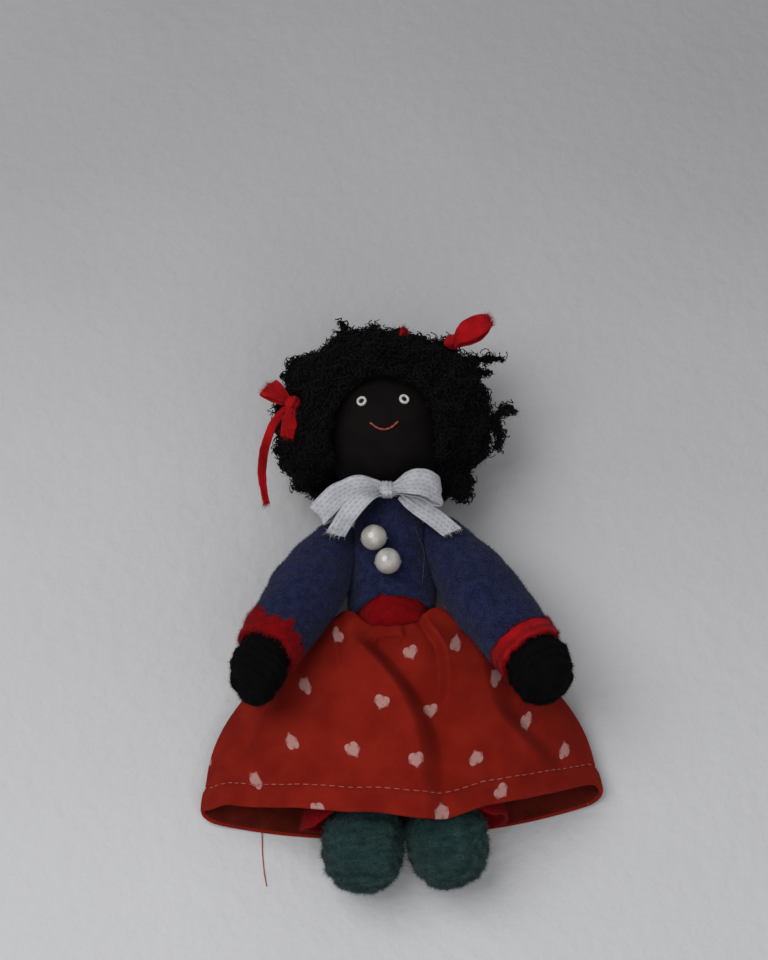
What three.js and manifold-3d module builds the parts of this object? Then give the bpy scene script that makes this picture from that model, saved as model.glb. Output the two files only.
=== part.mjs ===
// A small cloth doll lying on its back, in millimetres.
// +Z is up, +Y runs from the feet to the head and +X is the doll's left.
// The origin is on the floor, under the middle of the jacket's back.
import * as THREE from "three";
import { mergeVertices } from "three/addons/utils/BufferGeometryUtils.js";
import Module from "manifold-3d";

const wasm = await Module();
wasm.setup();

// Clearances
const GAP = 0.3; // between pieces that touch
const PRESS = 0.5; // how deep the floor presses the soft back flat

// Stuffed body, measured without clothes
const BODY_LENGTH = 27;
const BODY_BELOW = 12.3; // from the origin down to the body's lower end
const WAIST_WIDTH = 12;
const WAIST_DEPTH = 11.2;
const CHEST_WIDTH = 12.4;
const CHEST_DEPTH = 12.6;
const SHOULDER_WIDTH = 9.6;
const SHOULDER_DEPTH = 11.4;
const COLLAR_WIDTH = 7;
const COLLAR_DEPTH = 9;
const COLLAR_RISE = 3.6; // the collar lies this much higher than the waist

// Felt, cloth and wire
const SHIRT_FELT = 0.8;
const JACKET_FELT = 1;
const SLEEVE_FELT = 1.2;
const TROUSER_FELT = 0.8;
const FACE_CLOTH = 0.6;
const SKIRT_CLOTH = 0.7;
const WIRE_DIAMETER = 1.6;

// Edges of the clothes, along Y from the origin
const JACKET_HEM = -6.2;
const JACKET_TOP = 13.6;
const SHIRT_HEM = -10.6;
const SHIRT_TOP = 10;

// Head and neck
const HEAD_DIAMETER = 26;
const NECK_LENGTH = 2;
const NECK_DIAMETER = 6.4;
const NECK_TILT = 10; // degrees that the neck rises from the floor
const NECK_OPENING = 8; // in the face cloth
const SPINE_IN_HEAD = 9; // how far the spine wire runs into the head ball

// Hair
const HAIR_WIDTH = 44.6;
const HAIR_LENGTH = 40.4;
const HAIR_DEPTH = 33;
const HAIR_LIFT = 2.4; // the hair's middle lies this far up from the head's
const HAIR_DROP = 1; // and this far behind it
const CURL_DEPTH = 1.1;
const CURL_COUNT = 9; // curls round half the hair
const HAIR_END = 14.2; // from the head's middle down to the ends of the hair
const FACE_WIDTH = 20;
const FACE_TOP = 6; // hairline above the head's middle
const FACE_FLOOR = 3; // depth of the hair's edge beside the face
const CHIN_ROOM = 8.5; // hair in front ends this far below the head's middle

// Face stitches
const EYE_DIAMETER = 2;
const EYE_SPACING = 8.2;
const EYE_RAISE = 5; // degrees above the face's middle
const MOUTH_WIDTH = 4.6;
const MOUTH_DROP = 22; // degrees below the face's middle
const MOUTH_CURVE = 5; // degrees that its corners turn up
const STITCH = 0.6;

// Arms
const SHOULDER_Y = 7.4;
const SHOULDER_X = 10.4;
const SHOULDER_HEIGHT = 9.6;
const ARM_SPREAD = { right: 30, left: 29 }; // degrees from the body's length
const ARM_RISE = { right: 20, left: 16 }; // degrees up from the floor
const ARM_SWING = 50; // degrees that an arm turns outwards
const SLEEVE_LENGTH = { right: 25.6, left: 28 };
const SLEEVE_TOP_DIAMETER = 10;
const SLEEVE_DIAMETER = 14.4;
const WRIST_DIAMETER = 13.2;
const CUFF_LENGTH = 3.4;
const CUFF_THICKNESS = 1.2;
const HAND_LENGTH = { right: 14.2, left: 13.2 };
const HAND_DIAMETER = { right: 11.6, left: 12.6 };
const PALM_START = 3.6; // length of the hand inside the cuff

// Legs
const HIP_Y = -14.4;
const HIP_X = 4.8;
const HIP_HEIGHT = 8.5;
const LEG_SPLAY = 4.6; // degrees
const LEG_LENGTH = 45.5; // from the hip to the toe of the boot
const LEG_DIAMETER = 8.2;
const BOOT_LENGTH = 17;
const BOOT_WIDTH = 14.8;
const BOOT_DEPTH = 14.6;
const BOOT_SOCKET = 7; // how far the leg runs into the boot
const TROUSER_START = 6;
const TROUSER_LENGTH = 25;
const TROUSER_WIDTH = 18.6;
const TROUSER_DEPTH = 14.4;
const TROUSER_FLARE = 2.6; // how far the trouser's hem stands outwards

// Skirt
const SKIRT_TOP = -8; // at the sides and back
const SKIRT_DIP = 3.4; // lower at the front
const SKIRT_HEM = -48.4;
const SKIRT_HEM_RISE = 7.5; // the front of the hem is this much shorter at the sides
const SKIRT_BACK_RISE = 5; // and the back this much
const SKIRT_WIDTH = 74.6;
const SKIRT_DEPTH = 20.6;
const SKIRT_BELL = 2.6; // how soon the skirt spreads below its gathers
const GATHER_COUNT = 13;
const GATHER_DEPTH = 0.5;
const MAIN_FOLD_DEPTH = 3.2;
const SIDE_FOLD_DEPTH = 2; // where an arm lies
const PANEL_FOLD_DEPTH = 1.4;

// Neck bow
const RIBBON_WIDTH = 5.2;
const RIBBON_THICKNESS = 0.5;
const BOW_KNOT_WIDTH = 3.4;
const BOW_KNOT_THICKNESS = 3.6;
const BAND_WIDTH = 1.2;
const BAND_THICKNESS = 0.8;

// Pearl buttons
const PEARL_DIAMETER = 5;
const PEARL_HOLE = 1;
const PEARL_THREAD = 0.5;
const PEARL_PLACES = { upper: [-3, 5.2], lower: [-0.6, 0.3] };

// Hair ribbons
const HAIR_RIBBON_WIDTH = 4.6;
const HAIR_KNOT = 3.2;

// Mesh counts
const ROUND = 16; // sides of a limb
const SMALL_ROUND = 12; // sides of a small piece
const FOLD_SIDES = 44; // sides of the skirt
const WIRE_SIDES = 6;
const SWING_STEPS = 6; // places in an arm's swing at which it is cut clear of the jacket

const rad = THREE.MathUtils.degToRad;
const lerp = THREE.MathUtils.lerp;
const V = (x, y, z) => new THREE.Vector3(x, y, z);

// Finishes
const finish = (color, roughness) => new THREE.MeshStandardMaterial({ color, roughness, metalness: 0 });
const SKIN_CLOTH = finish(0x2a1d19, 0.9);
const HAND_PILE = finish(0x241a17, 1);
const WOOL = finish(0x0d0c0e, 1);
const NAVY_FELT = finish(0x232a55, 0.95);
const RED_FELT = finish(0xa81018, 0.95);
const RED_RIBBON = finish(0xc01018, 0.6);
const WHITE_RIBBON = finish(0xd9d8dc, 0.7);
const PRINTED_COTTON = finish(0xa8301f, 0.85);
const TEAL_FELT = finish(0x2f5a57, 0.95);
const PEARL = finish(0xe6e2d8, 0.2);
const WADDING = finish(0xcfc8bb, 1);
const STEEL = Object.assign(finish(0x8c8f92, 0.4), { metalness: 1 });
const WHITE_THREAD = finish(0xe8e6e2, 0.7);
const CORAL_THREAD = finish(0xb8473a, 0.7);

// Geometry helpers

// A smooth value at one place between listed stations [place, value].
function between(stations, place) {
  const last = stations.length - 1;
  const clamped = THREE.MathUtils.clamp(place, stations[0][0], stations[last][0]);
  let i = stations.findIndex(([at]) => at >= clamped);
  i = Math.max(i, 1);
  const [a, va] = stations[i - 1];
  const [b, vb] = stations[i];
  return lerp(va, vb, THREE.MathUtils.smoothstep(clamped, a, b));
}

// A closed surface from a list of equal rings of points, joined in order.
// Poles close the two ends, or without poles the last ring joins the first.
function loft(rings, poles) {
  const sides = rings[0].length;
  const points = rings.flat();
  const faces = [];
  const steps = poles ? rings.length - 1 : rings.length;
  for (let i = 0; i < steps; i++) {
    const here = i * sides;
    const next = ((i + 1) % rings.length) * sides;
    for (let j = 0; j < sides; j++) {
      const k = (j + 1) % sides;
      faces.push(here + j, here + k, next + k, here + j, next + k, next + j);
    }
  }
  if (poles) {
    const first = points.push(poles[0]) - 1;
    const last = points.push(poles[1]) - 1;
    const end = (rings.length - 1) * sides;
    for (let j = 0; j < sides; j++) {
      const k = (j + 1) % sides;
      faces.push(first, k, j, last, end + j, end + k);
    }
  }
  const made = new THREE.BufferGeometry().setFromPoints(points);
  made.setIndex(faces);
  return facingOut(made);
}

// Turns the faces of a closed indexed surface outwards.
function facingOut(geometry) {
  const p = geometry.getAttribute("position");
  const index = geometry.index.array;
  const [a, b, c] = [V(), V(), V()];
  let volume = 0;
  for (let i = 0; i < index.length; i += 3) {
    a.fromBufferAttribute(p, index[i]);
    b.fromBufferAttribute(p, index[i + 1]);
    c.fromBufferAttribute(p, index[i + 2]);
    volume += a.dot(b.cross(c));
  }
  if (volume < 0) {
    for (let i = 0; i < index.length; i += 3) [index[i], index[i + 1]] = [index[i + 1], index[i]];
  }
  return geometry;
}

// A turned solid about Y from [radius, y] points that start and end on the axis or close on themselves.
function turned(profile, sides) {
  const points = profile.map(([r, y]) => new THREE.Vector2(r, y));
  const made = new THREE.LatheGeometry(points, sides);
  made.deleteAttribute("normal");
  made.deleteAttribute("uv");
  return facingOut(mergeVertices(made));
}

// An ellipse ring in the XZ plane at one y.
function ellipse(y, halfWidth, halfDepth, centreX, centreZ, sides) {
  return Array.from({ length: sides }, (_, i) => {
    const angle = (2 * Math.PI * i) / sides;
    return V(centreX + halfWidth * Math.cos(angle), y, centreZ + halfDepth * Math.sin(angle));
  });
}

// A flat ribbon along points, each with the half width as a vector across the ribbon.
function ribbon(stations, thickness) {
  const centres = stations.map(([p]) => p);
  const rings = stations.map(([p, side], i) => {
    const before = centres[Math.max(i - 1, 0)];
    const after = centres[Math.min(i + 1, centres.length - 1)];
    const run = after.clone().sub(before).normalize();
    const across = side.clone().addScaledVector(run, -run.dot(side)).setLength(side.length());
    const up = run.cross(across).setLength(thickness / 2);
    return [
      p.clone().add(across).add(up),
      p.clone().sub(across).add(up),
      p.clone().sub(across).sub(up),
      p.clone().add(across).sub(up),
    ];
  });
  return loft(rings, [centres[0].clone(), centres[centres.length - 1].clone()]);
}

// A round wire or thread along a smooth curve through points.
function strand(points, diameter, steps, sides) {
  const section = new THREE.Shape().absarc(0, 0, diameter / 2, 0, 2 * Math.PI, false);
  const made = new THREE.ExtrudeGeometry(section, {
    steps,
    curveSegments: sides,
    bevelEnabled: false,
    extrudePath: new THREE.CatmullRomCurve3(points),
  });
  made.deleteAttribute("normal");
  made.deleteAttribute("uv");
  return facingOut(mergeVertices(made));
}

// Solids for joining and cutting
function solid(geometry) {
  const bare = geometry.clone();
  bare.deleteAttribute("normal");
  bare.deleteAttribute("uv");
  const merged = mergeVertices(bare);
  return new wasm.Manifold(
    new wasm.Mesh({
      numProp: 3,
      vertProperties: merged.getAttribute("position").array,
      triVerts: new Uint32Array(merged.index.array),
    }),
  );
}

function geometryOf(cut) {
  const mesh = cut.getMesh();
  const made = new THREE.BufferGeometry();
  made.setAttribute("position", new THREE.BufferAttribute(mesh.vertProperties, 3));
  made.setIndex(new THREE.BufferAttribute(mesh.triVerts, 1));
  return made;
}

const ball = (diameter, at, detail = 3) =>
  solid(new THREE.IcosahedronGeometry(diameter / 2, detail).translate(at.x, at.y, at.z));

const block = (width, length, depth, at) =>
  solid(new THREE.BoxGeometry(width, length, depth).translate(at.x, at.y, at.z));

const placed = (geometry, group) => solid(geometry.clone().applyMatrix4(group.matrixWorld));

const doll = new THREE.Group();
function add(name, geometry, material, parent = doll) {
  const mesh = new THREE.Mesh(geometry, material);
  mesh.name = name;
  parent.add(mesh);
  return mesh;
}

// Everything below the floor, which presses the soft back flat
const FLOOR_SIZE = 4 * BODY_LENGTH + 2 * LEG_LENGTH;
const floor = block(FLOOR_SIZE, FLOOR_SIZE, FLOOR_SIZE, V(0, 0, -FLOOR_SIZE / 2));

// Body and its clothes: each ring is the stuffed body's outline grown by the layers over it.
const BODY_BOTTOM = -BODY_BELOW;
const BODY_TOP = BODY_BOTTOM + BODY_LENGTH;
const SHIRT_INNER = GAP;
const SHIRT_OUTER = SHIRT_INNER + SHIRT_FELT;
const JACKET_INNER = SHIRT_OUTER + GAP;
const JACKET_OUTER = JACKET_INNER + JACKET_FELT;
const BODY_HEIGHT = CHEST_DEPTH / 2 + JACKET_OUTER - PRESS;

// Shares of the body's length at its waist, chest, shoulder and collar
const WAIST_AT = 0.16;
const CHEST_AT = 0.46;
const SHOULDER_AT = 0.74;
const COLLAR_AT = 0.95;
const ROUNDING = 0.7; // the body's ends are this share of its waist and collar

const shareOfBody = (y) => (y - BODY_BOTTOM) / BODY_LENGTH;

function bodyHalves(y) {
  const widths = [
    [0, WAIST_WIDTH * ROUNDING],
    [WAIST_AT, WAIST_WIDTH],
    [CHEST_AT, CHEST_WIDTH],
    [SHOULDER_AT, SHOULDER_WIDTH],
    [COLLAR_AT, COLLAR_WIDTH],
    [1, COLLAR_WIDTH * ROUNDING],
  ];
  const depths = [
    [0, WAIST_DEPTH * ROUNDING],
    [WAIST_AT, WAIST_DEPTH],
    [CHEST_AT, CHEST_DEPTH],
    [SHOULDER_AT, SHOULDER_DEPTH],
    [COLLAR_AT, COLLAR_DEPTH],
    [1, COLLAR_DEPTH * ROUNDING],
  ];
  const share = shareOfBody(y);
  return { width: between(widths, share) / 2, depth: between(depths, share) / 2, z: bodyCentre(y) };
}

function bodyCentre(y) {
  return BODY_HEIGHT + COLLAR_RISE * THREE.MathUtils.smoothstep(shareOfBody(y), CHEST_AT, 1);
}

function bodyRing(y, grow, sides = ROUND) {
  const { width, depth, z } = bodyHalves(y);
  return ellipse(y, width + grow, depth + grow, 0, z, sides);
}

const BODY_RINGS = 7;
const evenly = (from, to, count) => Array.from({ length: count }, (_, i) => lerp(from, to, i / (count - 1)));

function bodyForm(grow, from, to) {
  const rings = evenly(from, to, BODY_RINGS).map((y) => bodyRing(y, grow));
  return loft(rings, [V(0, from, bodyCentre(from)), V(0, to, bodyCentre(to))]);
}

// An open garment round the body between two edges.
function bodyShell(inner, outer, from, to) {
  const stations = evenly(from, to, BODY_RINGS);
  const outside = stations.map((y) => bodyRing(y, outer));
  const inside = stations.map((y) => bodyRing(y, inner)).reverse();
  return loft([...outside, ...inside]);
}

// The neck axis runs from the middle of the body's top into the head.
const tilt = rad(NECK_TILT);
const neckAxis = V(0, Math.cos(tilt), Math.sin(tilt));
const neckBase = V(0, BODY_TOP, bodyCentre(BODY_TOP));
const headCentre = neckBase.clone().addScaledVector(neckAxis, NECK_LENGTH + HEAD_DIAMETER / 2);
const onNeck = (distance) => headCentre.clone().addScaledVector(neckAxis, distance);

// Limb groups, one for each side: -1 is the doll's right and 1 its left.
const SIDES = { right: -1, left: 1 };

function limbGroup(x, y, z, spread, rise, side) {
  const group = new THREE.Group();
  group.position.set(x * side, y, z);
  group.rotation.order = "ZXY";
  group.rotation.z = rad(spread) * side;
  group.rotation.x = -rad(rise);
  doll.add(group);
  group.updateMatrixWorld(true);
  return group;
}

const arms = {};
const legs = {};
for (const [name, side] of Object.entries(SIDES)) {
  arms[name] = limbGroup(SHOULDER_X, SHOULDER_Y, SHOULDER_HEIGHT, ARM_SPREAD[name], ARM_RISE[name], side);
  legs[name] = limbGroup(HIP_X, HIP_Y, HIP_HEIGHT, LEG_SPLAY, 0, side);
}

// Round sockets in the body and its clothes, in which the limbs' rounded ends turn
const shoulderBalls = Object.values(arms).map((g) => ball(SLEEVE_TOP_DIAMETER + 2 * GAP, g.position));
const hipBalls = Object.values(legs).map((g) => ball(LEG_DIAMETER + 2 * GAP, g.position));
const cutAll = (from, cutters) => cutters.reduce((left, cutter) => left.subtract(cutter), from);

// Spine wire, straight along the neck axis
const SPINE_BOTTOM_COVER = 3;
const spineTop = onNeck(SPINE_IN_HEAD - HEAD_DIAMETER / 2);
const spineBottom = spineTop.clone();
spineBottom.addScaledVector(neckAxis, -(spineTop.y - BODY_BOTTOM - SPINE_BOTTOM_COVER) / neckAxis.y);
const spineBore = solid(strand([onNeck(0), spineBottom.clone().addScaledVector(neckAxis, -GAP)],
  WIRE_DIAMETER + 2 * GAP, 1, WIRE_SIDES));
add("spine_wire", strand([spineTop, spineBottom], WIRE_DIAMETER, 1, WIRE_SIDES), STEEL);

// Stuffed body, shirt and jacket. The body's top is cut square to the neck.
const neckCut = new THREE.BoxGeometry(BODY_LENGTH, BODY_LENGTH, BODY_LENGTH).translate(0, BODY_LENGTH / 2, 0);
neckCut.rotateX(tilt).translate(neckBase.x, neckBase.y, neckBase.z);
const bodySolid = cutAll(solid(bodyForm(0, BODY_BOTTOM, BODY_TOP)),
  [spineBore, solid(neckCut), ...shoulderBalls, ...hipBalls]);
add("stuffed_body", geometryOf(bodySolid), WADDING);

const shirtSolid = cutAll(solid(bodyShell(SHIRT_INNER, SHIRT_OUTER, SHIRT_HEM, SHIRT_TOP)),
  [...shoulderBalls, ...hipBalls]);
add("red_shirt", geometryOf(shirtSolid), RED_FELT);

const jacketSolid = cutAll(solid(bodyShell(JACKET_INNER, JACKET_OUTER, JACKET_HEM, JACKET_TOP)),
  [floor, ...shoulderBalls]);
add("jacket", geometryOf(jacketSolid), NAVY_FELT);

// What the arms have to stay out of: the jacket, grown by the clearance, up to just inside its armholes
const shoulderRooms = Object.values(arms).map((g) => ball(SLEEVE_TOP_DIAMETER + GAP, g.position));
const jacketRoom = cutAll(solid(bodyForm(JACKET_OUTER + GAP, BODY_BOTTOM, BODY_TOP)), shoulderRooms);

// Arms: a sleeve with a rounded top that turns in the armhole, a stuffed core on a wire, a cuff and a hand.
// Each runs along -Y of its group, so a place on it is its distance from the shoulder.
const WRIST_COVER = 2; // length over which the sleeve's end draws in
const ELBOW_AT = 0.5; // the sleeve is widest half way down
const ARM_RINGS = 6;

function sleeveRadius(at, length, inset) {
  const radii = [
    [0, SLEEVE_TOP_DIAMETER],
    [length * ELBOW_AT, SLEEVE_DIAMETER],
    [length - WRIST_COVER, WRIST_DIAMETER],
    [length, WRIST_DIAMETER],
  ];
  return between(radii, at) / 2 - inset;
}

// The rounded shoulder and the swelling arm down to its end, inset from the sleeve's outside.
function armOutline(length, inset) {
  const top = SLEEVE_TOP_DIAMETER / 2 - inset;
  const shoulder = [90, 60, 30].map((angle) => [top * Math.cos(rad(angle)), top * Math.sin(rad(angle))]);
  shoulder[0][0] = 0;
  const arm = evenly(0, length, ARM_RINGS).map((at) => [sleeveRadius(at, length, inset), -at]);
  return [...shoulder, ...arm];
}

const WRIST_RADIUS = WRIST_DIAMETER / 2 - CUFF_THICKNESS - GAP;
const WIRE_BORE = WIRE_DIAMETER / 2 + GAP;
const ARM_WIRE_TOP = SLEEVE_TOP_DIAMETER / 4;

function sleeveForm(length) {
  const inside = armOutline(length, SLEEVE_FELT).reverse();
  return turned([...armOutline(length, 0), ...inside], ROUND);
}

function armCoreForm(length) {
  const outline = armOutline(length, SLEEVE_FELT + GAP).slice(1);
  const [, top] = outline[0];
  return turned([[WIRE_BORE, top], ...outline, [WIRE_BORE, -length], [WIRE_BORE, top]], SMALL_ROUND);
}

function cuffForm(wrist) {
  const outer = WRIST_DIAMETER / 2;
  const inner = outer - CUFF_THICKNESS;
  const [from, to] = [-wrist, -wrist - CUFF_LENGTH];
  return turned([[inner, from], [outer, from], [outer, to], [inner, to], [inner, from]], ROUND);
}

function handForm(wrist, length, half, wireEnd) {
  const palmTop = wrist + PALM_START;
  const palm = length - PALM_START;
  const girths = [[0, WRIST_RADIUS], [0.4, half], [0.7, half * 0.88], [0.9, half * 0.55], [1, half * 0.2]];
  const round = evenly(0, 1, 7).map((share) => [between(girths, share), -palmTop - palm * share]);
  const hollow = -wireEnd - GAP;
  return turned([
    [0, hollow],
    [WIRE_BORE, hollow],
    [WIRE_BORE, -wrist],
    [WRIST_RADIUS, -wrist],
    ...round,
    [0, -palmTop - palm],
  ], ROUND);
}

for (const [name, group] of Object.entries(arms)) {
  const toLocal = group.matrixWorld.clone().invert();
  const pivot = group.position.toArray();
  const aside = group.position.clone().negate().toArray();
  const rooms = evenly(0, ARM_SWING, SWING_STEPS).map((swing) =>
    jacketRoom.translate(aside).rotate([0, 0, -swing * SIDES[name]]).translate(pivot),
  );
  const cutByJacket = (geometry) => geometryOf(cutAll(placed(geometry, group), rooms)).applyMatrix4(toLocal);
  const length = SLEEVE_LENGTH[name];
  const wrist = length + GAP;
  const wireEnd = wrist + HAND_LENGTH[name] / 2;
  add(`${name}_sleeve`, cutByJacket(sleeveForm(length)), NAVY_FELT, group);
  add(`${name}_arm_stuffing`, cutByJacket(armCoreForm(length)), WADDING, group);
  const wire = [V(0, ARM_WIRE_TOP, 0), V(0, -wireEnd, 0)];
  add(`${name}_arm_wire`, strand(wire, WIRE_DIAMETER, 1, WIRE_SIDES), STEEL, group);
  add(`${name}_cuff`, cuffForm(wrist), RED_RIBBON, group);
  add(`${name}_hand`, handForm(wrist, HAND_LENGTH[name], HAND_DIAMETER[name] / 2, wireEnd), HAND_PILE, group);
}

// Legs: a stuffed leg on a wire, a flared trouser leg and a rounded boot
const BOOT_START = LEG_LENGTH - BOOT_LENGTH;
const LEG_END = BOOT_START + BOOT_SOCKET;
const LEG_WIRE_TOP = LEG_DIAMETER / 4;

function legForm() {
  const radius = LEG_DIAMETER / 2;
  const top = [65, 40, 15].map((angle) => [radius * Math.cos(rad(angle)), radius * Math.sin(rad(angle))]);
  const [, topY] = top[0];
  return turned([
    [WIRE_BORE, topY],
    ...top,
    [radius, -LEG_END],
    [WIRE_BORE, -LEG_END],
    [WIRE_BORE, topY],
  ], SMALL_ROUND + 4);
}

function trouserForm(side) {
  const stations = evenly(0, 1, 6);
  const ring = (share, inset) => {
    const y = -TROUSER_START - TROUSER_LENGTH * share;
    const snug = LEG_DIAMETER / 2 + GAP + TROUSER_FELT;
    const width = lerp(snug, TROUSER_WIDTH / 2, share) - inset;
    const depth = lerp(snug, TROUSER_DEPTH / 2, share) - inset;
    return ellipse(y, width, depth, TROUSER_FLARE * share * side, 0, ROUND);
  };
  const outside = stations.map((share) => ring(share, 0));
  const inside = stations.map((share) => ring(share, TROUSER_FELT)).reverse();
  return loft([...outside, ...inside]);
}

const BOOT_RINGS = [0, 0.06, 0.2, 0.4, 0.6, 0.78, 0.92, 1];
const BOOT_OPENING = 0.62; // the boot's top is this share of its greatest girth
const TOE_ROUND = 0.3;

function bootGirth(share) {
  return between([[0, BOOT_OPENING], [0.4, 1], [0.6, 1], [0.78, 0.9], [0.92, 0.66], [1, TOE_ROUND]], share);
}

function bootForm() {
  const rings = BOOT_RINGS.map((share) => {
    const girth = bootGirth(share);
    const y = -BOOT_START - BOOT_LENGTH * share;
    return ellipse(y, (BOOT_WIDTH / 2) * girth, (BOOT_DEPTH / 2) * girth, 0, 0, ROUND);
  });
  return loft(rings, [V(0, -BOOT_START, 0), V(0, -LEG_LENGTH, 0)]);
}

const bootSocket = () =>
  turned([
    [0, -BOOT_START + GAP],
    [LEG_DIAMETER / 2 + GAP, -BOOT_START + GAP],
    [LEG_DIAMETER / 2 + GAP, -LEG_END - GAP],
    [0, -LEG_END - GAP],
  ], SMALL_ROUND + 4);

for (const [name, group] of Object.entries(legs)) {
  const side = SIDES[name];
  add(`${name}_leg_stuffing`, legForm(), WADDING, group);
  const wire = [V(0, LEG_WIRE_TOP, 0), V(0, -LEG_END, 0)];
  add(`${name}_leg_wire`, strand(wire, WIRE_DIAMETER, 1, WIRE_SIDES), STEEL, group);
  add(`${name}_trouser_leg`, trouserForm(side), RED_FELT, group);
  const boot = solid(bootForm()).subtract(solid(bootSocket()));
  add(`${name}_boot`, geometryOf(boot), TEAL_FELT, group);
}

// Skirt: gathered round the waist, spread over the floor and laid over the legs in a few large folds
const SKIRT_RINGS = 8;
const FLAT_BACK = 0.35; // a low power makes the back lie flat on the floor
const TENT = 1.8; // a high power lets the front fall away from the legs to the floor
const SIDE_HEIGHT = 0.15; // share of the skirt's depth at which its sides turn
const SIDE_TURN = 0.4; // sine of the angle over which the hem passes from back to front

// The folds at the front, each a valley that drifts sideways on its way to the hem.
// Places across are shares of the skirt's half width there.
const SKIRT_FOLDS = [
  { top: -0.22, hem: 0.16, width: 0.2, depth: MAIN_FOLD_DEPTH, fade: 0.45 },
  { top: 0.62, hem: -0.25, width: 0.12, depth: PANEL_FOLD_DEPTH, fade: 1 },
  { top: 0.72, hem: 0.42, width: 0.16, depth: SIDE_FOLD_DEPTH, fade: 1 },
  { top: -0.75, hem: -0.5, width: 0.16, depth: SIDE_FOLD_DEPTH, fade: 1 },
];

function skirtFold(across, share) {
  const rise = Math.sin(Math.PI * Math.min(1, 0.15 + share));
  return SKIRT_FOLDS.reduce((sum, fold) => {
    const middle = lerp(fold.top, fold.hem, share);
    const off = (across - middle) / fold.width;
    return sum + fold.depth * (1 - fold.fade * share) * Math.max(rise, 0.4) * Math.exp(-off * off);
  }, 0);
}

function skirtRing(share, inset) {
  const spread = 1 - (1 - share) ** SKIRT_BELL;
  return Array.from({ length: FOLD_SIDES }, (_, i) => {
    const angle = (2 * Math.PI * i) / FOLD_SIDES;
    const [c, s] = [Math.cos(angle), Math.sin(angle)];
    const front = Math.max(s, 0);
    const top = SKIRT_TOP - SKIRT_DIP * front ** 2;
    const rise = lerp(SKIRT_BACK_RISE, SKIRT_HEM_RISE, THREE.MathUtils.smoothstep(s, -SIDE_TURN, SIDE_TURN));
    const hem = SKIRT_HEM + rise * c * c;
    const y = lerp(top, hem, share);
    const waist = bodyHalves(SKIRT_TOP);
    const gather = GATHER_DEPTH * (1 + Math.cos(GATHER_COUNT * angle)) * (1 - share) ** 2;
    const snug = SHIRT_OUTER + GAP + SKIRT_CLOTH + gather - inset;
    const waistX = (waist.width + snug) * c;
    const waistZ = waist.z + (waist.depth + snug) * s;
    const halfHem = SKIRT_WIDTH / 2 - inset;
    const hemX = halfHem * c;
    const turn = SKIRT_DEPTH * SIDE_HEIGHT;
    const backZ = turn - (turn - inset) * Math.abs(s) ** FLAT_BACK;
    const frontZ = turn + (SKIRT_DEPTH - inset - turn) * front ** TENT;
    const hemZ = s < 0 ? backZ : frontZ;
    const fold = front * skirtFold(c, share);
    return V(lerp(waistX, hemX, spread), y, Math.max(lerp(waistZ, hemZ, spread) - fold, inset));
  });
}

function skirtForm() {
  const shares = evenly(0, 1, SKIRT_RINGS);
  const outside = shares.map((share) => skirtRing(share, 0));
  const inside = shares.map((share) => skirtRing(share, SKIRT_CLOTH)).reverse();
  return loft([...outside, ...inside]);
}
add("skirt", skirtForm(), PRINTED_COTTON);

// Head: a ball on the spine wire under a cloth cover, bound at the neck, with hair and face stitches
const head = new THREE.Group();
head.position.copy(headCentre);
doll.add(head);
head.updateMatrixWorld(true);
const HEAD_RADIUS = HEAD_DIAMETER / 2;
const BALL_RADIUS = HEAD_RADIUS - FACE_CLOTH - GAP;
const HEAD_ARC = 9; // steps from the crown to the neck

function headCoverForm() {
  const open = Math.PI - Math.asin(NECK_OPENING / 2 / HEAD_RADIUS);
  const arc = (radius) => evenly(0, open, HEAD_ARC).map((a) => [radius * Math.sin(a), radius * Math.cos(a)]);
  const outside = arc(HEAD_RADIUS);
  const inside = arc(HEAD_RADIUS - FACE_CLOTH).reverse();
  return turned([...outside, ...inside], ROUND).rotateX(tilt);
}

function headBallForm() {
  const bore = SPINE_IN_HEAD - HEAD_RADIUS + GAP;
  const neckEdge = Math.PI - Math.asin(WIRE_BORE / BALL_RADIUS);
  const arc = evenly(0, neckEdge, HEAD_ARC).map((a) => [BALL_RADIUS * Math.sin(a), BALL_RADIUS * Math.cos(a)]);
  const lowest = arc[arc.length - 1][1];
  return turned([...arc, [WIRE_BORE, lowest], [WIRE_BORE, bore], [0, bore]], ROUND).rotateX(tilt);
}

function neckBindingForm() {
  const [top, bottom] = [-HEAD_RADIUS - GAP, -HEAD_RADIUS - NECK_LENGTH + GAP];
  const outer = NECK_DIAMETER / 2;
  const ring = [[WIRE_BORE, top], [outer, top], [outer, bottom], [WIRE_BORE, bottom], [WIRE_BORE, top]];
  return turned(ring, SMALL_ROUND).rotateX(tilt);
}

add("head_stuffing", headBallForm(), WADDING, head);
add("face_cloth", headCoverForm(), SKIN_CLOTH, head);
add("neck_binding", neckBindingForm(), SKIN_CLOTH, head);

// A place on the face, by degrees up from its middle and a distance across
function onFace(raise, across, lift) {
  const height = HEAD_RADIUS + lift;
  const y = height * Math.sin(rad(raise));
  return V(across, y, Math.sqrt(height * height - across * across - y * y));
}

function eyeForm() {
  const r = EYE_DIAMETER / 2;
  return turned([
    [0, 0], [r, 0], [r, STITCH / 2], [r * 0.8, STITCH], [r * 0.55, STITCH / 2], [r * 0.3, STITCH * 0.8], [0, STITCH],
  ], SMALL_ROUND);
}

for (const [name, side] of Object.entries(SIDES)) {
  const eye = add(`${name}_eye`, eyeForm(), WHITE_THREAD, head);
  const at = onFace(EYE_RAISE, (side * EYE_SPACING) / 2, GAP);
  eye.position.copy(at);
  eye.quaternion.setFromUnitVectors(V(0, 1, 0), at.clone().normalize());
}

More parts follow.
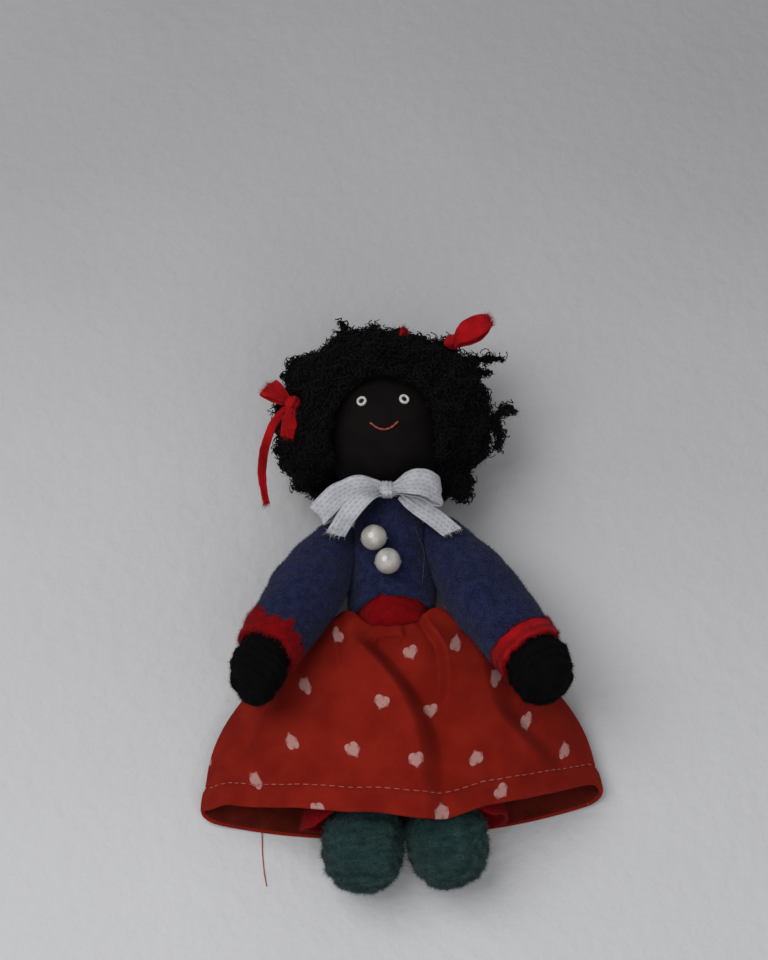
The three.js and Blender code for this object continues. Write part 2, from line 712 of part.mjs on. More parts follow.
const MOUTH_STEPS = 7;
const mouthPoints = evenly(-1, 1, MOUTH_STEPS).map((share) =>
  onFace(-MOUTH_DROP + MOUTH_CURVE * share * share, (share * MOUTH_WIDTH) / 2, GAP + STITCH / 2),
);
add("mouth", strand(mouthPoints, STITCH, MOUTH_STEPS, 2), CORAL_THREAD, head);

// Hair ribbons: each is knotted into the hair, with loops and tails that stand out of it.
// Places are from the head's middle, as drawn at one width of hair and of ribbon.
const drawnHair = 44.6;
const hairScale = HAIR_WIDTH / drawnHair;
const KNOTS = {
  right: V(-17.4, 3.6, 7).multiplyScalar(hairScale),
  left: V(13.4, 17.2, 6).multiplyScalar(hairScale),
};
const HAIR_RIBBONS = {
  right_ribbon_loop: [
    [V(-18.5, 4.4, 7.3), V(0.5, 0.6, 0)],
    [V(-20.4, 5.9, 8), V(1.2, 1.2, 0)],
    [V(-22.3, 7.4, 7.2), V(1.7, 1.5, 0)],
    [V(-20.6, 6, 6.2), V(1.2, 1.1, 0)],
    [V(-18.7, 4.5, 6), V(0.5, 0.6, 0)],
  ],
  right_ribbon_short_tail: [
    [V(-17.7, 2.2, 7.8), V(0.8, 0, -0.3)],
    [V(-18.2, -0.8, 8.6), V(1.4, 0.2, -0.5)],
    [V(-18.9, -3.9, 8.2), V(1.1, 0.5, -0.5)],
  ],
  right_ribbon_long_tail: [
    [V(-18.6, 3.2, 6.6), V(0.6, -0.3, 0)],
    [V(-21.6, -0.4, 6), V(0.8, -0.3, 0)],
    [V(-23.5, -5, 4), V(0.8, 0.2, -0.4)],
    [V(-24.1, -9.6, 1.6), V(0.7, 0, -0.4)],
    [V(-23.4, -14.2, -0.4), V(0.5, -0.2, -0.3)],
  ],
  left_ribbon_loop: [
    [V(14.2, 16.4, 6.7), V(-0.6, 1.1, 0)],
    [V(16.6, 16.9, 8.4), V(-0.8, 1.8, 0)],
    [V(19.5, 17.8, 8.9), V(-0.6, 1.8, 0)],
    [V(22.2, 18.5, 8), V(-0.4, 1.6, 0)],
    [V(20, 17.8, 6.9), V(-0.6, 1.7, 0)],
    [V(17.2, 16.9, 6.4), V(-0.7, 1.6, 0)],
    [V(14.4, 16.3, 5.6), V(-0.6, 1.1, 0)],
  ],
};
const drawnHairRibbon = 4.6;
const ribbonScale = HAIR_RIBBON_WIDTH / drawnHairRibbon;

function hairRibbon(stations, extra) {
  const wide = stations.map(([p, across]) => {
    const half = across.clone().multiplyScalar(ribbonScale);
    return [p.clone().multiplyScalar(hairScale), half.setLength(half.length() + extra)];
  });
  return ribbon(wide, RIBBON_THICKNESS + 2 * extra);
}

const knotForm = (size) => new THREE.IcosahedronGeometry(size / 2, 2);
for (const [name, at] of Object.entries(KNOTS)) {
  add(`${name}_ribbon_knot`, knotForm(HAIR_KNOT), RED_RIBBON, head).position.copy(at);
}
const knotRooms = Object.values(KNOTS).map((at) => ball(HAIR_KNOT + 2 * GAP, at, 2));
for (const [name, stations] of Object.entries(HAIR_RIBBONS)) {
  const shape = cutAll(solid(hairRibbon(stations, 0)), knotRooms);
  add(name, geometryOf(shape), RED_RIBBON, head);
}

// The curly mass, cut away for the head, the face, the chin, the ribbons and the floor
const HAIR_DETAIL = 5;

function curlyMass() {
  const made = new THREE.IcosahedronGeometry(1, HAIR_DETAIL);
  const p = made.getAttribute("position");
  const point = V();
  for (let i = 0; i < p.count; i++) {
    point.fromBufferAttribute(p, i).normalize();
    const [x, y, z] = point.toArray().map((v, axis) => Math.cos(CURL_COUNT * v + 2 * axis));
    const curl = (CURL_DEPTH / 3) * (x + y + z);
    point.multiply(V(HAIR_WIDTH / 2 + curl, HAIR_LENGTH / 2 + curl, HAIR_DEPTH / 2 + curl));
    p.setXYZ(i, point.x, point.y + HAIR_LIFT, point.z - HAIR_DROP);
  }
  return made;
}

function faceOpening() {
  const half = FACE_WIDTH / 2;
  const outline = new THREE.Shape();
  outline.moveTo(-half, -HAIR_LENGTH);
  outline.lineTo(half, -HAIR_LENGTH);
  outline.lineTo(half, FACE_TOP - half);
  outline.absarc(0, FACE_TOP - half, half, 0, Math.PI, false);
  outline.lineTo(-half, -HAIR_LENGTH);
  const made = new THREE.ExtrudeGeometry(outline, { depth: HAIR_DEPTH, bevelEnabled: false, curveSegments: 10 });
  return solid(made.translate(0, 0, FACE_FLOOR));
}

// Room below the hair for the shoulders and the bow, square to the neck axis
function neckRoom() {
  const size = 3 * HAIR_LENGTH;
  const under = new THREE.BoxGeometry(size, size, size).translate(0, -HAIR_END - size / 2, 0);
  const infront = new THREE.BoxGeometry(size, size, size).translate(0, -CHIN_ROOM - size / 2, size / 2);
  const collar = new THREE.CylinderGeometry(HEAD_RADIUS, HEAD_RADIUS, HEAD_RADIUS, ROUND);
  collar.translate(0, -HEAD_RADIUS, 0);
  return [under, infront, collar].map((geometry) => solid(geometry.rotateX(tilt)));
}

const ribbonRooms = Object.values(HAIR_RIBBONS).map((stations) => solid(hairRibbon(stations, GAP)));
const hairFloor = block(FLOOR_SIZE, FLOOR_SIZE, FLOOR_SIZE, V(0, 0, -FLOOR_SIZE / 2 - headCentre.z));
const hair = cutAll(solid(curlyMass()), [
  ball(HEAD_DIAMETER + 2 * GAP, V(0, 0, 0)),
  faceOpening(),
  ...neckRoom(),
  ...knotRooms,
  ...ribbonRooms,
  hairFloor,
]);
add("hair", geometryOf(hair), WOOL, head);

// Neck bow: a ribbon round the neck, a bound knot in front, two loops and two tails.
// Places are from the knot's middle, as drawn at one ribbon width, and each half width lies across the ribbon.
const drawnRibbon = 5.2;
const atBow = (x, y, z) => V(x, y, z).multiplyScalar(RIBBON_WIDTH / drawnRibbon);
const BAND_PLACE = HEAD_RADIUS + NECK_LENGTH / 2 - GAP;
const bandWidth = COLLAR_WIDTH / 2 + JACKET_INNER;
const bandDepth = COLLAR_DEPTH / 2 + JACKET_INNER;

function bandForm() {
  const section = [[0, 0.5], [0, -0.5], [1, -0.5], [1, 0.5]];
  const rings = Array.from({ length: ROUND }, (_, i) => {
    const angle = (2 * Math.PI * i) / ROUND;
    return section.map(([out, along]) => {
      const grow = out * BAND_THICKNESS;
      return V((bandWidth + grow) * Math.cos(angle), along * BAND_WIDTH, (bandDepth + grow) * Math.sin(angle));
    });
  });
  return loft(rings).rotateX(tilt);
}

const bandCentre = onNeck(-BAND_PLACE);
add("neck_band", bandForm(), WHITE_RIBBON).position.copy(bandCentre);

const bow = new THREE.Group();
bow.position.set(0, 0, bandDepth + BAND_THICKNESS + GAP + BOW_KNOT_THICKNESS / 2);
bow.position.applyAxisAngle(V(1, 0, 0), tilt).add(bandCentre);
doll.add(bow);

const halfKnot = BOW_KNOT_WIDTH / 2;
const half = drawnRibbon / 2;
const BOW = {
  right_bow_loop: [
    [V(-halfKnot - GAP, 0.1, 0.9), atBow(0, 1.4, 0)],
    [atBow(-4.6, 0, 2.3), atBow(-0.1, 0.85 * half, 0)],
    [atBow(-8.4, -0.8, 1.9), atBow(-0.4, 0.95 * half, 0)],
    [atBow(-11.6, -2.6, 0.2), atBow(-1, 0.85 * half, 0)],
    [atBow(-13.5, -4.1, -1.3), atBow(-1.2, 0.75 * half, 0)],
    [atBow(-11.4, -2.8, -1.6), atBow(-1, 0.8 * half, 0)],
    [atBow(-8.2, -1, 0), atBow(-0.4, 0.85 * half, 0)],
    [atBow(-4.6, -0.1, 0.5), atBow(0, 0.7 * half, 0)],
    [V(-halfKnot - GAP, 0.1, 0.1), atBow(0, 1.4, 0)],
  ],
  left_bow_loop: [
    [V(halfKnot + GAP, 0.1, 0.9), atBow(0, 1.4, 0)],
    [atBow(4.2, 0.2, 2.7), atBow(0.1, 0.9 * half, 0)],
    [atBow(7, 0.1, 2.7), atBow(0.1, 1.05 * half, 0)],
    [atBow(9.4, -0.7, 1.2), atBow(0.2, 1.05 * half, 0)],
    [atBow(10.2, -1.1, -0.5), atBow(0.2, half, 0)],
    [atBow(8.8, -0.8, -0.9), atBow(0.1, 0.95 * half, 0)],
    [atBow(6.6, -0.2, 0.4), atBow(0, 0.85 * half, 0)],
    [atBow(4.2, 0, 0.6), atBow(0, 0.7 * half, 0)],
    [V(halfKnot + GAP, 0.1, 0.1), atBow(0, 1.4, 0)],
  ],
  right_bow_tail: [
    [V(-halfKnot - GAP, -1.1, 1.9), atBow(-0.5, 0.8, 0)],
    [atBow(-4.6, -2.5, 3.4), atBow(-1, 1.3, 0)],
    [atBow(-7.6, -5.3, 2.6), atBow(-1.2, 1.4, 0)],
    [atBow(-10.3, -8.2, -1.2), atBow(-1.3, 1.3, 0)],
  ],
  left_bow_tail: [
    [V(halfKnot + 3 * GAP, -0.8, -1), atBow(0.4, 0.9, 0)],
    [atBow(4.8, -2.4, -1.4), atBow(0.9, 1.4, 0)],
    [atBow(8.8, -5.4, -2), atBow(1, 1.6, 0)],
    [atBow(12.1, -8.4, -3), atBow(0.9, 1.6, 0)],
  ],
};
for (const [name, stations] of Object.entries(BOW)) {
  add(name, ribbon(stations, RIBBON_THICKNESS), WHITE_RIBBON, bow);
}

function bowKnotForm() {
  const waist = BOW_KNOT_WIDTH / 2;
  const girth = BOW_KNOT_THICKNESS / 2;
  const barrel = [[0, -waist], [girth * 0.75, -waist], [girth, 0], [girth * 0.75, waist], [0, waist]];
  return turned(barrel, SMALL_ROUND).rotateZ(Math.PI / 2);
}
add("bow_knot", bowKnotForm(), WHITE_RIBBON, bow);

// Pearl buttons on the jacket's front, each sewn on by a thread through its hole
function jacketFront(x, y) {
  const { width, depth, z } = bodyHalves(y);
  const share = x / (width + JACKET_OUTER);
  return z + (depth + JACKET_OUTER) * Math.sqrt(1 - share * share);
}

function pearlForm() {
  const [r, hole] = [PEARL_DIAMETER / 2, PEARL_HOLE / 2];
  const start = Math.asin(hole / r);
  const arc = evenly(start, Math.PI - start, 9).map((a) => [r * Math.sin(a), r * Math.cos(a)]);
  return turned([...arc, arc[0]], ROUND).rotateZ(Math.PI / 2);
}

const THREAD_OUT = PEARL_DIAMETER / 2 + PEARL_THREAD;
for (const [name, [x, y]] of Object.entries(PEARL_PLACES)) {
  const seat = jacketFront(x, y) + GAP;
  const middle = seat + PEARL_DIAMETER / 2;
  add(`${name}_pearl_button`, pearlForm(), PEARL).position.set(x, y, middle);
  const ends = [-1, 1].map((side) => V(x + side * THREAD_OUT, y, jacketFront(x + side * THREAD_OUT, y) + GAP));
  const shoulders = [-1, 1].map((side) => V(x + side * THREAD_OUT, y, middle - PEARL_THREAD));
  const route = [ends[0], shoulders[0], V(x, y, middle), shoulders[1], ends[1]];
  add(`${name}_button_thread`, strand(route, PEARL_THREAD, 10, 2), WHITE_THREAD);
}

export default doll;
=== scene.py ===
"""A small handmade cloth doll lying on its back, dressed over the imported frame.

Lengths are millimetres, as on a sewing pattern, until a mesh is made: meshes are in metres.
+Z is up, +Y runs from the feet to the head and +X is the doll's left.
"""
import logging
import math
from dataclasses import dataclass, replace
from enum import Enum
from functools import partialmethod
from typing import Iterable, Sequence

import bmesh
import bpy
import numpy as np
from mathutils import Euler, Matrix, Vector


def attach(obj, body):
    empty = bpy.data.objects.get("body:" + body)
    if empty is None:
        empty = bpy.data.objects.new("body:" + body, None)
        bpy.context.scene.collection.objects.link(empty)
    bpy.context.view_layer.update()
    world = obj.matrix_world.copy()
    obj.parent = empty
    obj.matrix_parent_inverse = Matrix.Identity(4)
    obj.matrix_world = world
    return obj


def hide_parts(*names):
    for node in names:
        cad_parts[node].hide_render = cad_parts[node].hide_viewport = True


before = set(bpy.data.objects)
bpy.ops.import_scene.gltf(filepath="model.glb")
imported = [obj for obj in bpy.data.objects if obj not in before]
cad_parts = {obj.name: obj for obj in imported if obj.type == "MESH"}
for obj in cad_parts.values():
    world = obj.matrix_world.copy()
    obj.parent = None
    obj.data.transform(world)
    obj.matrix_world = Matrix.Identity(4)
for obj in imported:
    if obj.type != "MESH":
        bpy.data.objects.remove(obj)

log = logging.getLogger("cloth_doll")

Array = np.ndarray
Piece = bpy.types.Object
Socket = bpy.types.NodeSocket
Material = bpy.types.Material
Pair = tuple[float, float]
Triple = tuple[float, float, float]
Stations = Sequence[Pair]
Route = Sequence[Sequence[float]]  # each row a place and the half width across it

MM = 0.001
TAU = 2 * math.pi
CLOTH_UNIT = 100.0  # millimetres of cloth in one unit of the UV map
FLOOR_GAP = 0.03
GAP = 0.3  # between the plain solids of two pieces
WAVES = 10  # plane waves in a ripple
LIMB_COLUMNS = 104
EDGE_TURNS = np.radians([35, 70, 110, 145])  # the rows that round a cloth's edge
FLAT = (1, 0, 1)  # drops the length along a limb


class Side(Enum):
    """The doll's own left and right."""

    RIGHT = -1
    LEFT = 1

    @property
    def word(self) -> str:
        """The side's name at the start of a piece's name."""
        return self.name.lower()


# Shapes


def smooth(value: Array, low: float | Array, high: float | Array) -> Array:
    """Eases a value from 0 at low to 1 at high."""
    share = np.clip((np.asarray(value, float) - low) / (high - low), 0, 1)
    return share * share * (3 - 2 * share)


def between(stations: Stations, place: Array) -> Array:
    """Gives a smooth value between listed stations.

    Args:
        stations: Pairs of place and value, in order of place.
        place: Where the value is wanted.

    Returns:
        The value at each place.
    """
    places, values = (np.array(column, float) for column in zip(*stations))
    after = np.clip(np.searchsorted(places, place), 1, len(places) - 1)
    share = smooth(place, places[after - 1], places[after])
    return values[after - 1] + (values[after] - values[after - 1]) * share


def ripple(points: Array, wavelength: float, seed: int) -> Array:
    """Gives a smooth random value at each point, mostly from -1 to 1.

    Args:
        points: Places with x, y and z last.
        wavelength: Usual distance between two crests.
        seed: Fixes the pattern.

    Returns:
        One value for each point.
    """
    rng = np.random.default_rng(seed)
    ways = rng.normal(size=(WAVES, 3))
    ways /= np.linalg.norm(ways, axis=1, keepdims=True)
    ways *= TAU / (wavelength * rng.uniform(0.7, 1.4, (WAVES, 1)))
    phases = rng.uniform(0, TAU, WAVES)
    return np.sin(points @ ways.T + phases).sum(-1) / math.sqrt(WAVES)


def lengths(vectors: Array) -> Array:
    """Measures vectors."""
    return np.linalg.norm(vectors, axis=-1)


def unit(vectors: Array) -> Array:
    """Scales vectors to length 1."""
    return vectors / np.maximum(lengths(vectors)[..., None], 1e-9)


def moved(points: Array, place: Matrix) -> Array:
    """Turns and shifts points by a matrix in millimetres."""
    turn = np.array(place)
    return points @ turn[:3, :3].T + turn[:3, 3]


def clear_of_ball(points: Array, centre: Triple, radius: float) -> Array:
    """Pushes points that lie in a ball out to its surface."""
    off = points - np.array(centre)
    return np.where(lengths(off)[..., None] < radius, np.array(centre) + unit(off) * radius, points)


def round_angles(columns: int, start: float = 0.0) -> Array:
    """Spaces angles evenly round a turn."""
    return start + TAU * np.arange(columns) / columns


def ball_profile(radius: float, start: float, end: float, steps: int) -> list[Pair]:
    """Draws a ball's profile, as pairs of radius and y, between two angles in degrees from its top."""
    return [(radius * math.sin(a), radius * math.cos(a)) for a in np.radians(np.linspace(start, end, steps))]


def turned(profile: Iterable[Pair], columns: int) -> Array:
    """Turns a profile about Y.

    Args:
        profile: Pairs of radius and y.
        columns: Points in each ring.

    Returns:
        Rows of points, one ring for each pair.
    """
    radius, y = (np.array(column, float)[:, None] for column in zip(*profile))
    angle = round_angles(columns)
    return np.stack([radius * np.cos(angle), y + 0 * angle, radius * np.sin(angle)], -1)


def rings_round(route: Array, radius: float | Array, sides: int, aside: Triple) -> Array:
    """Draws rings round a route.

    Args:
        route: Points, close enough to be smooth.
        radius: Of all the rings, or of each.
        sides: Points in each ring.
        aside: A direction that the route never takes.

    Returns:
        Rows of points.
    """
    run = unit(np.gradient(route, axis=0))
    side = unit(np.cross(run, aside))
    angle = round_angles(sides)[None, :, None]
    ring = side[:, None] * np.cos(angle) + np.cross(run, side)[:, None] * np.sin(angle)
    return route[:, None] + np.reshape(radius, (-1, 1, 1)) * ring


def row_normals(rows: Array) -> Array:
    """Finds the outward direction at each point of rows that close round.

    Args:
        rows: Rows of points.

    Returns:
        Unit vectors that point away from each row's middle.
    """
    along = np.gradient(rows, axis=0)
    across = np.roll(rows, -1, 1) - np.roll(rows, 1, 1)
    normal = unit(np.cross(along, across))
    out = rows - rows.mean(axis=1, keepdims=True)
    return normal * np.where((normal * out).sum((1, 2), keepdims=True) < 0, -1, 1)


def above(rows: Array, low: float) -> Array:
    """Keeps points at or above a height."""
    return np.concatenate([rows[..., :2], np.maximum(rows[..., 2:], low)], -1)


def shell(outside: Array, inside: Array) -> Array:
    """Joins a cloth's two sides with rounded edges.

    Args:
        outside: Rows of the outer side, from one edge to the other.
        inside: Rows of the inner side, in the same order.

    Returns:
        Rows that go down the outside, round the edge and back up the inside.
    """
    edges = []
    for last, before in ((-1, -2), (0, 1)):
        middle = (outside[last] + inside[last]) / 2
        half = outside[last] - middle
        run = unit(outside[last] - outside[before]) * lengths(half)[..., None]
        edges.append([middle + half * math.cos(a) + run * math.sin(a) for a in EDGE_TURNS])
    return np.array([*outside, *edges[0], *inside[::-1], *edges[1][::-1]])


def cloth_places(rows: Array) -> Array:
    """Measures a place on the cloth for each point, for weaves and prints.

    Args:
        rows: Rows of points that close round.

    Returns:
        Lengths across and along, with one more column than the rows.
    """
    ring = np.concatenate([rows, rows[:, :1]], 1)
    across = lengths(np.diff(ring, axis=1)).mean(0)
    along = lengths(np.diff(rows, axis=0)).mean(1)
    u, v = (np.concatenate([[0], np.cumsum(steps)]) for steps in (across, along))
    return np.stack(np.broadcast_arrays(u[None], v[:, None]), -1)


def new_object(name: str, data: bpy.types.ID) -> Piece:
    """Puts a mesh, a lamp or a camera into the scene at the origin.

    Args:
        name: The new object's name.
        data: What it shows.

    Returns:
        The object.
    """
    obj = bpy.data.objects.new(name, data)
    bpy.context.scene.collection.objects.link(obj)
    return obj


def skin(name: str, rows: Array, joined: bool = False, cloth: Array | None = None) -> Piece:
    """Makes a smooth closed mesh from rows of points that close round on themselves.

    Args:
        name: The new object's name.
        rows: Points, as rows by columns by three.
        joined: Whether the last row joins the first. Otherwise a point closes each end.
        cloth: Places on the flat cloth, or None to measure them on the rows.

    Returns:
        The object, with a UV map of its cloth and faces that point outwards.
    """
    count, columns = rows.shape[:2]
    cloth = cloth_places(rows) if cloth is None else cloth
    points, faces, places = [*rows.reshape(-1, 3)], [], []
    for i in range(count if joined else count - 1):
        k = (i + 1) % count
        for j in range(columns):
            m = (j + 1) % columns
            faces.append((i * columns + j, i * columns + m, k * columns + m, k * columns + j))
            places += [cloth[i, j], cloth[i, j + 1], cloth[k, j + 1], cloth[k, j]]
    for i, order in () if joined else ((0, -1), (count - 1, 1)):
        points.append(rows[i].mean(0))
        for j in range(columns):
            faces.append((*(i * columns + j, i * columns + (j + 1) % columns)[::order], len(points) - 1))
            places += [*(cloth[i, j], cloth[i, j + 1])[::order], (cloth[i, j] + cloth[i, j + 1]) / 2]
    mesh = bpy.data.meshes.new(name)
    mesh.from_pydata((np.array(points) * MM).tolist(), [], faces)
    layer = mesh.uv_layers.new(name="cloth")
    layer.data.foreach_set("uv", (np.array(places) / CLOTH_UNIT).ravel())
    mesh.polygons.foreach_set("use_smooth", np.ones(len(mesh.polygons), bool))
    made = bmesh.new()
    made.from_mesh(mesh)
    if made.calc_volume(signed=True) < 0:
        bmesh.ops.reverse_faces(made, faces=made.faces)
    made.to_mesh(mesh)
    made.free()
    return new_object(name, mesh)


def read(obj: Piece, kind: str) -> Array:
    """Reads a vector at each of an object's points.

    Args:
        obj: The object.
        kind: co for the points' places, normal for their ways out.

    Returns:
        The vectors.
    """
    values = np.empty(len(obj.data.vertices) * 3)
    obj.data.vertices.foreach_get(kind, values)
    return values.reshape(-1, 3)


def points_of(obj: Piece) -> Array:
    """Reads an object's points in millimetres."""
    return read(obj, "co") / MM


def put_points(obj: Piece, points: Array) -> None:
    """Moves an object's points to places in millimetres."""
    obj.data.vertices.foreach_set("co", (points * MM).ravel())


def evaluated(obj: Piece, name: str) -> bpy.types.Mesh:
    """Makes a plain mesh of an object with its modifiers applied.

    Args:
        obj: The object.
        name: The new mesh's name.

    Returns:
        The mesh.
    """
    graph = bpy.context.evaluated_depsgraph_get()
    mesh = bpy.data.meshes.new_from_object(obj.evaluated_get(graph), depsgraph=graph)
    mesh.name = name
    return mesh


def mark(obj: Piece, name: str, values: Array) -> None:
    """Stores one number or one vector at each point of a mesh.

    Args:
        obj: The mesh object.
        name: The attribute's name.
        values: One number or one vector for each point.
    """
    kind, part = ("FLOAT_VECTOR", "vector") if np.ndim(values) == 2 else ("FLOAT", "value")
    layer = obj.data.attributes.get(name) or obj.data.attributes.new(name, kind, "POINT")
    layer.data.foreach_set(part, np.ravel(values))


def tube(name: str, route: Array, diameter: float, sides: int = 10) -> Piece:
    """Makes a closed round thread along a route."""
    return skin(name, rings_round(route, diameter / 2, sides, (0.31, 0.18, 0.93)))


def curve_through(points: Sequence[Sequence[float]], steps: int) -> Array:
    """Runs a smooth curve through points.

    Args:
        points: Points of any dimension, in order.
        steps: Number of points wanted.

    Returns:
        Points on the curve.
    """
    p = np.array(points, float)
    p = np.concatenate([[2 * p[0] - p[1]], p, [2 * p[-1] - p[-2]]])
    place = np.linspace(0, len(p) - 3, steps)
    i = np.minimum(place.astype(int), len(p) - 4)
    t = (place - i)[:, None]
    a, b, c, d = p[i], p[i + 1], p[i + 2], p[i + 3]
    return 0.5 * (2 * b + (c - a) * t + (2 * a - 5 * b + 4 * c - d) * t**2 + (3 * b - a - 3 * c + d) * t**3)


# Nodes


@dataclass
class Board:
    """Adds and joins the nodes of one tree."""

    tree: bpy.types.NodeTree

    def node(self, kind: str, inputs: dict | None = None, **settings: object) -> bpy.types.Node:
        """Adds a node.

        Args:
            kind: The node's type.
            inputs: Values, nodes or sockets for its inputs, by name or number.
            **settings: Its other properties.

        Returns:
            The node.
        """
        node = self.tree.nodes.new(kind)
        for name, value in settings.items():
            setattr(node, name, value)
        for name, value in (inputs or {}).items():
            self.feed(node.inputs[name], value)
        return node

    def feed(self, socket: Socket, value: object) -> None:
        """Sets an input to a value, or links it to a socket or a node's first output.

        Args:
            socket: The input.
            value: A plain value, a socket, a node or a Value.
        """
        value = value.socket if isinstance(value, Value) else value
        value = value.outputs[0] if isinstance(value, bpy.types.Node) else value
        if isinstance(value, Socket):
            self.tree.links.new(value, socket)
        else:
            socket.default_value = value

    def math(self, operation: str, *terms: object) -> "Value":
        """Adds a math node over numbers and values."""
        node = self.node("ShaderNodeMath", dict(enumerate(terms)), operation=operation)
        return Value(self, node.outputs[0])

    def vector(self, operation: str, first: object, second: object) -> Socket:
        """Adds a vector math node over two vectors, or a vector and a number for SCALE."""
        terms = {0: first, "Scale" if operation == "SCALE" else 1: second}
        return self.node("ShaderNodeVectorMath", terms, operation=operation).outputs[0]

    def parts(self, vector: object) -> list["Value"]:
        """Splits a vector into its numbers."""
        return [Value(self, part) for part in self.node("ShaderNodeSeparateXYZ", {0: vector}).outputs]


@dataclass
class Value:
    """A number in a tree, which can be reckoned with."""

    board: Board
    socket: Socket

    def of(self, operation: str, *others: object) -> "Value":
        """Applies a math node of one or more terms."""
        return self.board.math(operation, self, *others)

    __add__ = partialmethod(of, "ADD")
    __sub__ = partialmethod(of, "SUBTRACT")
    __mul__ = partialmethod(of, "MULTIPLY")
    __truediv__ = partialmethod(of, "DIVIDE")

    def eased(self, low: float, high: float) -> "Value":
        """Eases from 0 at low to 1 at high."""
        node = self.board.node("ShaderNodeMapRange", {"Value": self, "From Min": low, "From Max": high},
                               interpolation_type="SMOOTHSTEP")
        return Value(self.board, node.outputs[0])


class Growth:
    """A Geometry Nodes tree that grows small shapes on a host mesh, with named inputs."""

    def __init__(self, name: str) -> None:
        """Starts a tree with an input and an output for geometry.

        Args:
            name: The tree's name.
        """
        self.name = name
        self.tree = bpy.data.node_groups.new(name, "GeometryNodeTree")
        self.board = Board(self.tree)
        self.labels: dict[str, str] = {}
        self.start = self.board.node("NodeGroupInput")
        self.end = self.board.node("NodeGroupOutput")
        self.host = self.input("Host", "NodeSocketGeometry")
        self.tree.interface.new_socket(name="Grown", in_out="OUTPUT", socket_type="NodeSocketGeometry")
        self.finish = self.input("Finish", "NodeSocketMaterial")
        self.seed = self.input("Seed", "NodeSocketInt")

    def input(self, label: str, kind: str = "NodeSocketFloat") -> Socket:
        """Adds a named input.

        Args:
            label: Its name.
            kind: The type of its socket.

        Returns:
            Its socket inside the tree.
        """
        socket = self.tree.interface.new_socket(name=label, in_out="INPUT", socket_type=kind)
        self.labels[label] = socket.identifier
        return self.start.outputs[label]

    def close(self, geometry: object) -> None:
        """Ends the tree: makes instances real, smooths them and sets their material.

        Args:
            geometry: What was grown.
        """
        real = self.board.node("GeometryNodeRealizeInstances", {"Geometry": geometry})
        even = self.board.node("GeometryNodeSetShadeSmooth", {0: real})
        done = self.board.node("GeometryNodeSetMaterial", {"Geometry": even, "Material": self.finish})
        self.board.feed(self.end.inputs[0], done)

    def random(self, low: float, high: float, salt: int) -> Socket:
        """Adds a random number for each shape, kept apart from the others by its salt."""
        seed = self.board.math("ADD", self.seed, salt)
        return self.board.node("FunctionNodeRandomValue", {2: low, 3: high, 8: seed}).outputs[1]

    def scatter(self) -> tuple[Socket, Socket]:
        """Scatters points over the host, denser where its attribute grow is higher.

        Returns:
            The points and the way each shape points: the surface's normal, the host's attribute
            comb and a random way, weighted by the inputs Lift, Comb and Scatter.
        """
        board = self.board
        density, lift, comb, spread = (self.input(label) for label in ("Density", "Lift", "Comb", "Scatter"))
        grow = board.node("GeometryNodeInputNamedAttribute", {"Name": "grow"}, data_type="FLOAT")
        combed = board.node("GeometryNodeInputNamedAttribute", {"Name": "comb"}, data_type="FLOAT_VECTOR")
        spots = board.node("GeometryNodeDistributePointsOnFaces", {
            "Mesh": self.host,
            "Density": board.math("MULTIPLY", density, grow),
            "Seed": self.seed,
        })
        way = board.vector("SCALE", spots.outputs["Normal"], lift)
        dice = {0: (-1, -1, -1), 1: (1, 1, 1), 8: board.math("ADD", self.seed, 1)}
        stray = board.node("FunctionNodeRandomValue", dice, data_type="FLOAT_VECTOR")
        for part, share in ((combed, comb), (stray, spread)):
            way = board.vector("ADD", way, board.vector("SCALE", part, share))
        return spots.outputs["Points"], way

    def place(self, points: Socket, shape: object, way: Socket, scale: Socket) -> bpy.types.Node:
        """Puts a shape on each point, its Z along a way and spun at random about it.

        Args:
            points: Where the shapes go.
            shape: The shape.
            way: The direction of each.
            scale: The size of each.

        Returns:
            The instances.
        """
        board = self.board
        aimed = board.node("FunctionNodeAlignRotationToVector", {"Vector": way}, axis="Z")
        angle = self.random(0, TAU, 2)
        spin = board.node("FunctionNodeAxisAngleToRotation", {"Axis": (0, 0, 1), "Angle": angle})
        spun = board.node("FunctionNodeRotateRotation", {"Rotation": aimed, "Rotate By": spin},
                          rotation_space="LOCAL")
        return board.node("GeometryNodeInstanceOnPoints",
                          {"Points": points, "Instance": shape, "Rotation": spun, "Scale": scale})

    def on(self, host: Piece, name: str, finish: "Finish", seed: int, **sizes: float) -> Piece:
        """Grows the tree's shapes on a host and keeps them as a plain mesh.

        Args:
            host: The mesh to grow on, which stays as it is.
            name: The new object's name.
            finish: The shapes' finish.
            seed: Fixes what is random.
            **sizes: The tree's inputs by name, in metres.

        Returns:
            The new object.
        """
        modifier = host.modifiers.new(self.name, "NODES")
        modifier.node_group = self.tree
        for label, value in {"Finish": finish.material(), "Seed": seed, **sizes}.items():
            modifier[self.labels[label]] = value
        grown = new_object(name, evaluated(host, name))
        host.modifiers.remove(modifier)
        put_points(grown, above(points_of(grown), FLOOR_GAP))
        return grown


class Nap(Growth):
    """Short pointed fibres that stand on cloth, or fray from its edges."""

    def __init__(self) -> None:
        """Builds the tree."""
        super().__init__("fibre_nap")
        board = self.board
        length, thickness, bend = (self.input(label) for label in ("Length", "Thickness", "Bend"))
        segments = self.input("Segments", "NodeSocketInt")
        points, way = self.scatter()
        root = board.math("MULTIPLY", thickness, 0.6)
        fibre = board.node("GeometryNodeMeshCone", {
            "Vertices": 3, "Side Segments": segments, "Radius Top": 0.0, "Radius Bottom": root,
            "Depth": length})
        height = board.parts(board.node("GeometryNodeInputPosition"))[2]
        offset = board.node("ShaderNodeCombineXYZ", {"X": height * height / length * bend})
        bent = board.node("GeometryNodeSetPosition", {"Geometry": fibre, "Offset": offset})
        self.close(self.place(points, bent, way, self.random(0.55, 1.3, 3)))


